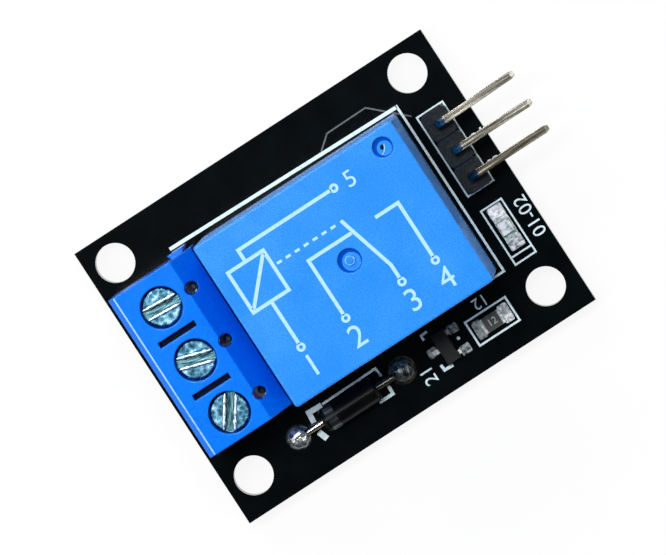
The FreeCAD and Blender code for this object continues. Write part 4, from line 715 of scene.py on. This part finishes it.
def solderJoint(name, node, x, y, level, upwards, profile, finish):
    sign = 1 if upwards else -1
    startDisc(x, y, level, profile[0][1], joint["sides"])
    for (lowHeight, lowRadius), (height, radius) in zip(profile, profile[1:]):
        drawOut(0, 0, sign * (height - lowHeight), radius / lowRadius)
    closeMesh(joint["rounding"])
    finishPiece(name, finish, replaces=(node,), smooth=80)


for node, places in joint["places"].items():
    for index, (x, y) in enumerate(places, 1):
        solderJoint(f"{node}_joint_{index}", node, x, y, 0.0, False, joint["under"], brightSolder)
for index, finish in ((1, domeSolder), (2, fluxAndShadeDome)):
    x, y = joint["places"]["diode_solder"][index - 1]
    solderJoint(f"diode_dome_{index}", "diode_solder", x, y, boardTop, True, joint["dome"], finish)
print("solder joints modelled")


# Flux left round the darker of the two domes

fluxRing = {"film": 0.06, "rings": [(0.66, -9.83, 1.2, 0.12, 40)]}
drawPrint("fluxRing", rosin, boardTop, fluxRing)
print("flux drawn")


# Solder on the chip pads: a block that climbs to the chip on one side, roughened and rounded

patchShape = {"cuts": 3, "roughness": 0.035, "rounding": 2}
patches = {     # node, x, y, size in x and y, height of the foot, height at the chip, side of the chip, finish
    # The darker solder on the transistor pads and the left resistor pad is painted shade
    "transistorPad1": ("transistor_solder", 5.99, -9.2, 0.95, 0.8, 0.13, 0.13, (0, 0), shadedSolder),
    "transistorPad2": ("transistor_solder", 6.01, -11.19, 0.95, 0.85, 0.13, 0.13, (0, 0), shadedSolder),
    "transistorPad3": ("transistor_solder", 3.59, -9.99, 0.9, 0.85, 0.13, 0.13, (0, 0), shadedSolder),
    "resistorPad1": ("resistor_solder", 7.82, -10.48, 0.82, 1.66, 0.1, 0.36, (1, 0), shadedSolder),
    # The near white solder on the right resistor pad and the lamp pads is a painted highlight
    "resistorPad2": ("resistor_solder", 10.4, -10.48, 0.86, 1.66, 0.14, 0.4, (-1, 0), litSolder),
    "lampPad1": ("lamp_solder", 14.27, -3.08, 1.34, 1.1, 0.2, 0.4, (0, -1), litSolder),
    "lampPad2": ("lamp_solder", 14.27, -6.02, 1.34, 1.1, 0.16, 0.4, (0, 1), litSolder),
}


def solderPatch(name, node, x, y, sizeX, sizeY, foot, rise, towards, finish):
    deselectAll()
    bpy.ops.mesh.primitive_cube_add(size=millimetre,
                                    location=(x * millimetre, y * millimetre, boardTop * millimetre))
    bpy.ops.object.mode_set(mode="EDIT")
    bpy.ops.mesh.select_all(action="SELECT")
    bpy.ops.transform.resize(value=(sizeX, sizeY, foot))
    bpy.ops.transform.translate(value=(0, 0, foot / 2 * millimetre))
    if any(towards):
        pickVerts(lambda spot: spot.z > 0 and (spot.x * towards[0] + spot.y * towards[1]) > 0)
        bpy.ops.transform.translate(value=(0, 0, (rise - foot) * millimetre))
    bpy.ops.mesh.select_all(action="SELECT")
    bpy.ops.mesh.subdivide(number_cuts=patchShape["cuts"])
    bpy.ops.mesh.select_all(action="SELECT")
    seed = len(name) + int(10 * abs(x))
    bpy.ops.transform.vertex_random(offset=patchShape["roughness"] * millimetre, uniform=1.0, seed=seed)
    closeMesh(patchShape["rounding"])
    finishPiece(name, finish, replaces=(node,), smooth=80)


for name, settings in patches.items():
    solderPatch(name, *settings)
print("chip solder modelled")


# Green marks that show the lamp's way round

lampPolarity = {
    "level": 2.0,
    "film": 0.02,
    "lines": [(0.13, [(14.42, -5.2), (14.82, -5.34)]), (0.13, [(13.74, -5.18), (13.98, -5.42)])],
}
drawPrint("lampPolarity", greenInk, lampPolarity["level"], lampPolarity)
print("lamp marks drawn")


# Bent leads of the diode: a round wire drawn out of the body, spun down and drawn through the board

diodeLead = {
    "middle": (-4.42, -9.83), "height": 3.13, "start": 2.5, "halfPitch": 5.08, "foot": -1.5,
    "radius": 0.28, "bend": 0.75, "sides": 20, "bendSteps": 10, "tip": 0.1, "tipShare": 0.75,
    "weld": 0.002,
}


def bentLead(name, node, side, finish):
    middleX, middleY = diodeLead["middle"]
    bendStart = diodeLead["halfPitch"] - diodeLead["bend"]
    bendFoot = diodeLead["height"] - diodeLead["bend"]
    startDisc(middleX + side * diodeLead["start"], middleY, diodeLead["height"], diodeLead["radius"],
              diodeLead["sides"], turn=(0, math.pi / 2, 0))
    drawOut(side * (bendStart - diodeLead["start"]), 0, 0)
    centre = ((middleX + side * bendStart) * millimetre, middleY * millimetre, bendFoot * millimetre)
    bpy.ops.mesh.spin(steps=diodeLead["bendSteps"], angle=side * math.pi / 2, center=centre, axis=(0, 1, 0))
    drawOut(0, 0, diodeLead["foot"] + diodeLead["tip"] - bendFoot)
    drawOut(0, 0, -diodeLead["tip"], diodeLead["tipShare"])
    bpy.ops.mesh.select_all(action="SELECT")
    bpy.ops.mesh.remove_doubles(threshold=diodeLead["weld"] * millimetre)
    closeMesh()
    finishPiece(name, finish, replaces=(node,), smooth=50)


bentLead("diodeLead1", "diode_lead_1", -1, tinnedWire)
bentLead("diodeLead2", "diode_lead_2", 1, darkWire)
print("diode leads modelled")


# Slots of the terminal screws: scraped floor, and burrs that drivers have raised along both edges

screws = {1: (-12.42, 5.50, -4.0), 2: (-12.42, 0.42, -17.5), 3: (-12.42, -4.66, 55.5)}     # x, y, turn of the slot
slotFloor = {"level": 10.6, "length": 3.16, "width": 0.74, "film": 0.02}
slotBurrs = {
    "level": 11.2, "length": 3.0, "steps": 18, "sides": 10, "offset": 0.46, "width": 0.3, "height": 0.1,
    "startSize": 0.5, "endSize": 0.4, "size": 0.85, "swell": 0.4, "swellPace": 2.3, "ripple": 0.25,
    "ripplePace": 5.1, "sway": 0.02, "swayPace": 3.7,
}


def modelBurrs():
    # Both ridges are drawn along X in short steps, each a little thicker or thinner than the last
    newSketch()
    steps = slotBurrs["steps"]
    for side in (-1, 1):
        bpy.ops.mesh.primitive_circle_add(
            vertices=slotBurrs["sides"], radius=millimetre / 2, fill_type="NGON", rotation=(0, math.pi / 2, 0),
            location=(-slotBurrs["length"] / 2 * millimetre, side * slotBurrs["offset"] * millimetre,
                      slotBurrs["level"] * millimetre))
        size = slotBurrs["startSize"]
        bpy.ops.transform.resize(value=(1, slotBurrs["width"] * size, slotBurrs["height"]))
        for step in range(1, steps + 1):
            swell = slotBurrs["swell"] * abs(math.sin(step * slotBurrs["swellPace"] + side))
            ripple = slotBurrs["ripple"] * math.sin(step * slotBurrs["ripplePace"])
            wanted = slotBurrs["size"] + swell + ripple
            if step == steps:
                wanted = slotBurrs["endSize"]
            share = wanted / size
            sway = math.sin(step * slotBurrs["swayPace"] + side) * slotBurrs["sway"]
            drawOut(slotBurrs["length"] / steps, sway, 0, share, (1, share, share))
            size = wanted
    closeMesh()
    return bpy.context.object


def modelSlotFloor():
    deselectAll()
    bpy.ops.mesh.primitive_plane_add(size=millimetre)
    bpy.ops.object.mode_set(mode="EDIT")
    bpy.ops.mesh.select_all(action="SELECT")
    bpy.ops.transform.resize(value=(slotFloor["length"], slotFloor["width"], 1))
    bpy.ops.mesh.subdivide(number_cuts=1)
    pickAll()
    drawOut(0, 0, slotFloor["film"])
    closeMesh()
    return bpy.context.object


def copyOf(master, x, y, turn, level):
    # A copy with its own mesh of a piece that was modelled round the middle of the frame
    deselectAll()
    master.select_set(True)
    bpy.context.view_layer.objects.active = master
    bpy.ops.object.duplicate(linked=False)
    copy = bpy.context.object
    copy.location = (x * millimetre, y * millimetre, level * millimetre)
    copy.rotation_euler = (0, 0, math.radians(turn))


for part, master, finish, level in (("Burrs", modelBurrs(), burrMetal, 0.0),
                                    ("SlotFloor", modelSlotFloor(), slotMetal, slotFloor["level"])):
    for number, (x, y, turn) in screws.items():
        copyOf(master, x, y, turn, level)
        finishPiece(f"screw{part}{number}", finish, body=f"clamp_screw_{number}", smooth=60)
    bpy.data.objects.remove(master)
print("screw slots dressed")


# Upturned ends of the contact bars, seen down the probe holes, their tin darkened with painted shade of the holes

probePost = {
    "x": -9.45, "foot": 6.2, "radius": 0.38, "sides": 24,
    "places": {1: (5.50, 9.1), 2: (0.42, 9.0), 3: (-4.66, 7.9)},     # y and top
    "crown": [(0.1, 0.92), (0.08, 0.72), (0.04, 0.4)],               # height and share of each step
}
for number, (y, top) in probePost["places"].items():
    startDisc(probePost["x"], y, probePost["foot"], probePost["radius"], probePost["sides"])
    drawOut(0, 0, top - probePost["foot"] - sum(height for height, share in probePost["crown"]))
    for height, share in probePost["crown"]:
        drawOut(0, 0, height, share)
    closeMesh()
    finishPiece(f"probePost{number}", holeShadeTin, smooth=40)
print("probe posts modelled")


# Painted highlight: a pale line along the top front edge of the terminal

edgeHighlight = {"level": 11.58, "film": 0.03, "lines": [(0.13, [(-15.3, -6.9), (-15.3, 8.2)])]}
drawPrint("terminalEdgeHighlight", highlightPlastic, edgeHighlight["level"], edgeHighlight)

# Painted shade: dark films low in the marker slots, which are deeper on the real terminal

markerShade = {
    "level": 10.7,
    "film": 0.02,
    "lines": [(0.46, [(-14.14, 2.96), (-10.7, 2.96)]), (0.46, [(-14.14, -2.12), (-10.7, -2.12)])],
}
drawPrint("markerSlotShades", shadePlastic, markerShade["level"], markerShade)

# The vent in the relay's cover was pierced after moulding: a dark film in it is painted shade for the slit, and a
# pale line beside it for the torn edge is a painted highlight

ventHighlight = {"level": 16.72, "film": 0.05, "lines": [(0.1, [(10.2, 6.88), (10.1, 6.6), (9.93, 6.38), (9.62, 6.2)])]}
drawPrint("ventHighlight", highlightPlastic, ventHighlight["level"], ventHighlight)
ventSlitShade = {"level": 16.71, "film": 0.03, "lines": [(0.28, [(9.97, 6.86), (9.88, 6.58)])]}
drawPrint("ventSlitShade", shadePlastic, ventSlitShade["level"], ventSlitShade)

# Cold slug torn off in the gate mark, with its rough top

gateSlug = {"x": 2.8, "y": 0.52, "foot": 16.7, "height": 0.26, "radius": 0.42, "sides": 18, "steps": (0.12, 0.14),
            "roughness": 0.04, "seed": 7}
startDisc(gateSlug["x"], gateSlug["y"], gateSlug["foot"], gateSlug["radius"], gateSlug["sides"])
drawOut(0, 0, gateSlug["height"])
for step in gateSlug["steps"]:
    bpy.ops.mesh.inset(thickness=step * millimetre)
bpy.ops.mesh.select_all(action="SELECT")
bpy.ops.transform.vertex_random(offset=gateSlug["roughness"] * millimetre, uniform=1.0, seed=gateSlug["seed"])
closeMesh()
finishPiece("gateSlug", slugPlastic, smooth=20)

# Painted shade: darker crescents on the floors of the gate mark and the vent, which are dished deeper on the real
# cover

dimpleShades = {
    "level": 16.7,
    "film": 0.02,
    "shift": (0.16, 297),      # how far the ring's hole is moved, and which way in degrees
    "rings": [(2.8, 0.52, 0.98, 0.21, 32), (9.99, 6.73, 0.83, 0.21, 32)],
}
drawPrint("dimpleShades", dimpleShadePlastic, dimpleShades["level"], dimpleShades)
print("moulding details drawn")


# The two joints between the header's three cells, drawn as dark films of painted shade, and the number on the
# resistor

headerGrooveShades = {
    "level": 4.135,
    "film": 0.012,
    "lines": [(0.1, [(13.35, 4.36), (15.35, 4.36)]), (0.1, [(13.35, 1.82), (15.35, 1.82)])],
}
drawPrint("headerGrooveShades", shadePlastic, headerGrooveShades["level"], headerGrooveShades)
resistorNumber = {"text": "12", "x": 9.09, "y": -10.48, "height": 0.62, "turn": 0, "level": 2.105, "film": 0.015}
drawNumber("resistorNumber", **resistorNumber, finish=chipInk, slot="ceramic")
print("header and resistor marks drawn")


# Copper traces, which stand up a little under the mask, on both sides of the board

topTraces = {"film": 0.01, "lines": [(0.13, [(4.9, 8.9), (6.1, 9.9), (9.9, 9.95), (12.7, 7.3)])]}
drawPrint("topTraces", traceMask, boardTop, topTraces)
underTraces = {
    "film": 0.04,
    "lines": [
        (1.6, [(-9.52, 5.5), (-6.6, 6.57), (-4.91, 6.57)]),                # contacts to the terminal
        (1.6, [(-9.52, -4.66), (-6.6, -5.43), (-4.91, -5.43)]),
        (1.6, [(-9.52, 0.42), (9.29, 0.57)]),
        (0.7, [(7.29, 6.57), (10.9, 6.57), (12.2, 3.09), (14.33, 3.09)]),  # coil to the header and the diode
        (0.7, [(7.29, -5.43), (3.6, -8.2), (0.66, -9.78)]),
        (0.5, [(7.29, 6.57), (3.4, 9.6), (-11.6, 9.2), (-14.9, 6.0), (-14.9, -6.0), (-11.6, -9.83),
               (-9.5, -9.83)]),
    ],
}
drawPrint("underTraces", traceMask, -underTraces["film"], underTraces)
print("traces drawn")


# Camera, lamps and floor. Places and sizes of the camera and lamps are in metres.

photoCamera = {"place": (0.03954, 0.01845, 0.69708), "turn": (-3.0661, 1.8825, -33.0644), "lens": 457.6,
               "sensor": 36.0, "near": 0.01, "far": 20.0}
cameraData = bpy.data.cameras.new("photoCamera")
cameraData.lens = photoCamera["lens"]
cameraData.sensor_width = photoCamera["sensor"]
cameraData.sensor_fit = "HORIZONTAL"
cameraData.clip_start = photoCamera["near"]
cameraData.clip_end = photoCamera["far"]
camera = bpy.data.objects.new("photoCamera", cameraData)
camera.location = photoCamera["place"]
camera.rotation_euler = [math.radians(angle) for angle in photoCamera["turn"]]
bpy.context.scene.collection.objects.link(camera)
bpy.context.scene.camera = camera

lampsAim = Vector((0.002, 0, 0))
lamps = {
    "keyPanel": {"place": (-0.03, 0.18, 0.79), "size": (0.5, 0.13), "power": 4.7, "colour": "#ffffff"},
    "backPanel": {"place": (-0.05, 0.50, 0.45), "size": (0.4, 0.15), "power": 1.6, "colour": "#ffffff"},
    "tipStrip": {"place": (0.50, -0.02, 0.50), "size": (0.12, 0.2), "power": 0.25, "colour": "#ffffff"},
    "edgeStrip": {"place": (-0.45, 0.05, 0.55), "size": (0.14, 0.4), "power": 0.7, "colour": "#ffffff"},
    "rimStrip": {"place": (0.32, -0.30, 0.55), "size": (0.05, 0.3), "power": 0.45, "colour": "#f4f8ff"},
}
for name, settings in lamps.items():
    lampData = bpy.data.lights.new(name, "AREA")
    lampData.shape = "RECTANGLE"
    lampData.size, lampData.size_y = settings["size"]
    lampData.energy = settings["power"]
    lampData.color = toLinear(settings["colour"])[:3]
    lamp = bpy.data.objects.new(name, lampData)
    lamp.location = settings["place"]
    lamp.rotation_euler = (lampsAim - Vector(settings["place"])).to_track_quat("-Z", "Y").to_euler()
    bpy.context.scene.collection.objects.link(lamp)

# The world is grey as light and white to the camera
skyColours = {"light": "#484b4e", "seen": "#ffffff"}
world = bpy.data.worlds.new("studio")
bpy.context.scene.world = world
world.use_nodes = True
world.node_tree.nodes.clear()
rays = addNode(world.node_tree, "ShaderNodeLightPath")
glow = addNode(world.node_tree, "ShaderNodeMix",
               {"data_type": "RGBA", 6: toLinear(skyColours["light"]), 7: toLinear(skyColours["seen"])},
               {0: (rays, "Is Camera Ray")})
sky = addNode(world.node_tree, "ShaderNodeBackground", {"Strength": 1.0}, {"Color": (glow, 2)})
addNode(world.node_tree, "ShaderNodeOutputWorld", {}, {"Surface": (sky, 0)})

floorCard = {"size": 4000.0, "level": -1.52}     # the level is just below the solder tails
deselectAll()
bpy.ops.mesh.primitive_plane_add(size=floorCard["size"] * millimetre,
                                 location=(0, 0, floorCard["level"] * millimetre))
floor = bpy.context.object
floor.name = "floor"
floor.data.materials.append(makeFloorCard())
bpy.context.scene.view_settings.view_transform = "Standard"
print("stage set")
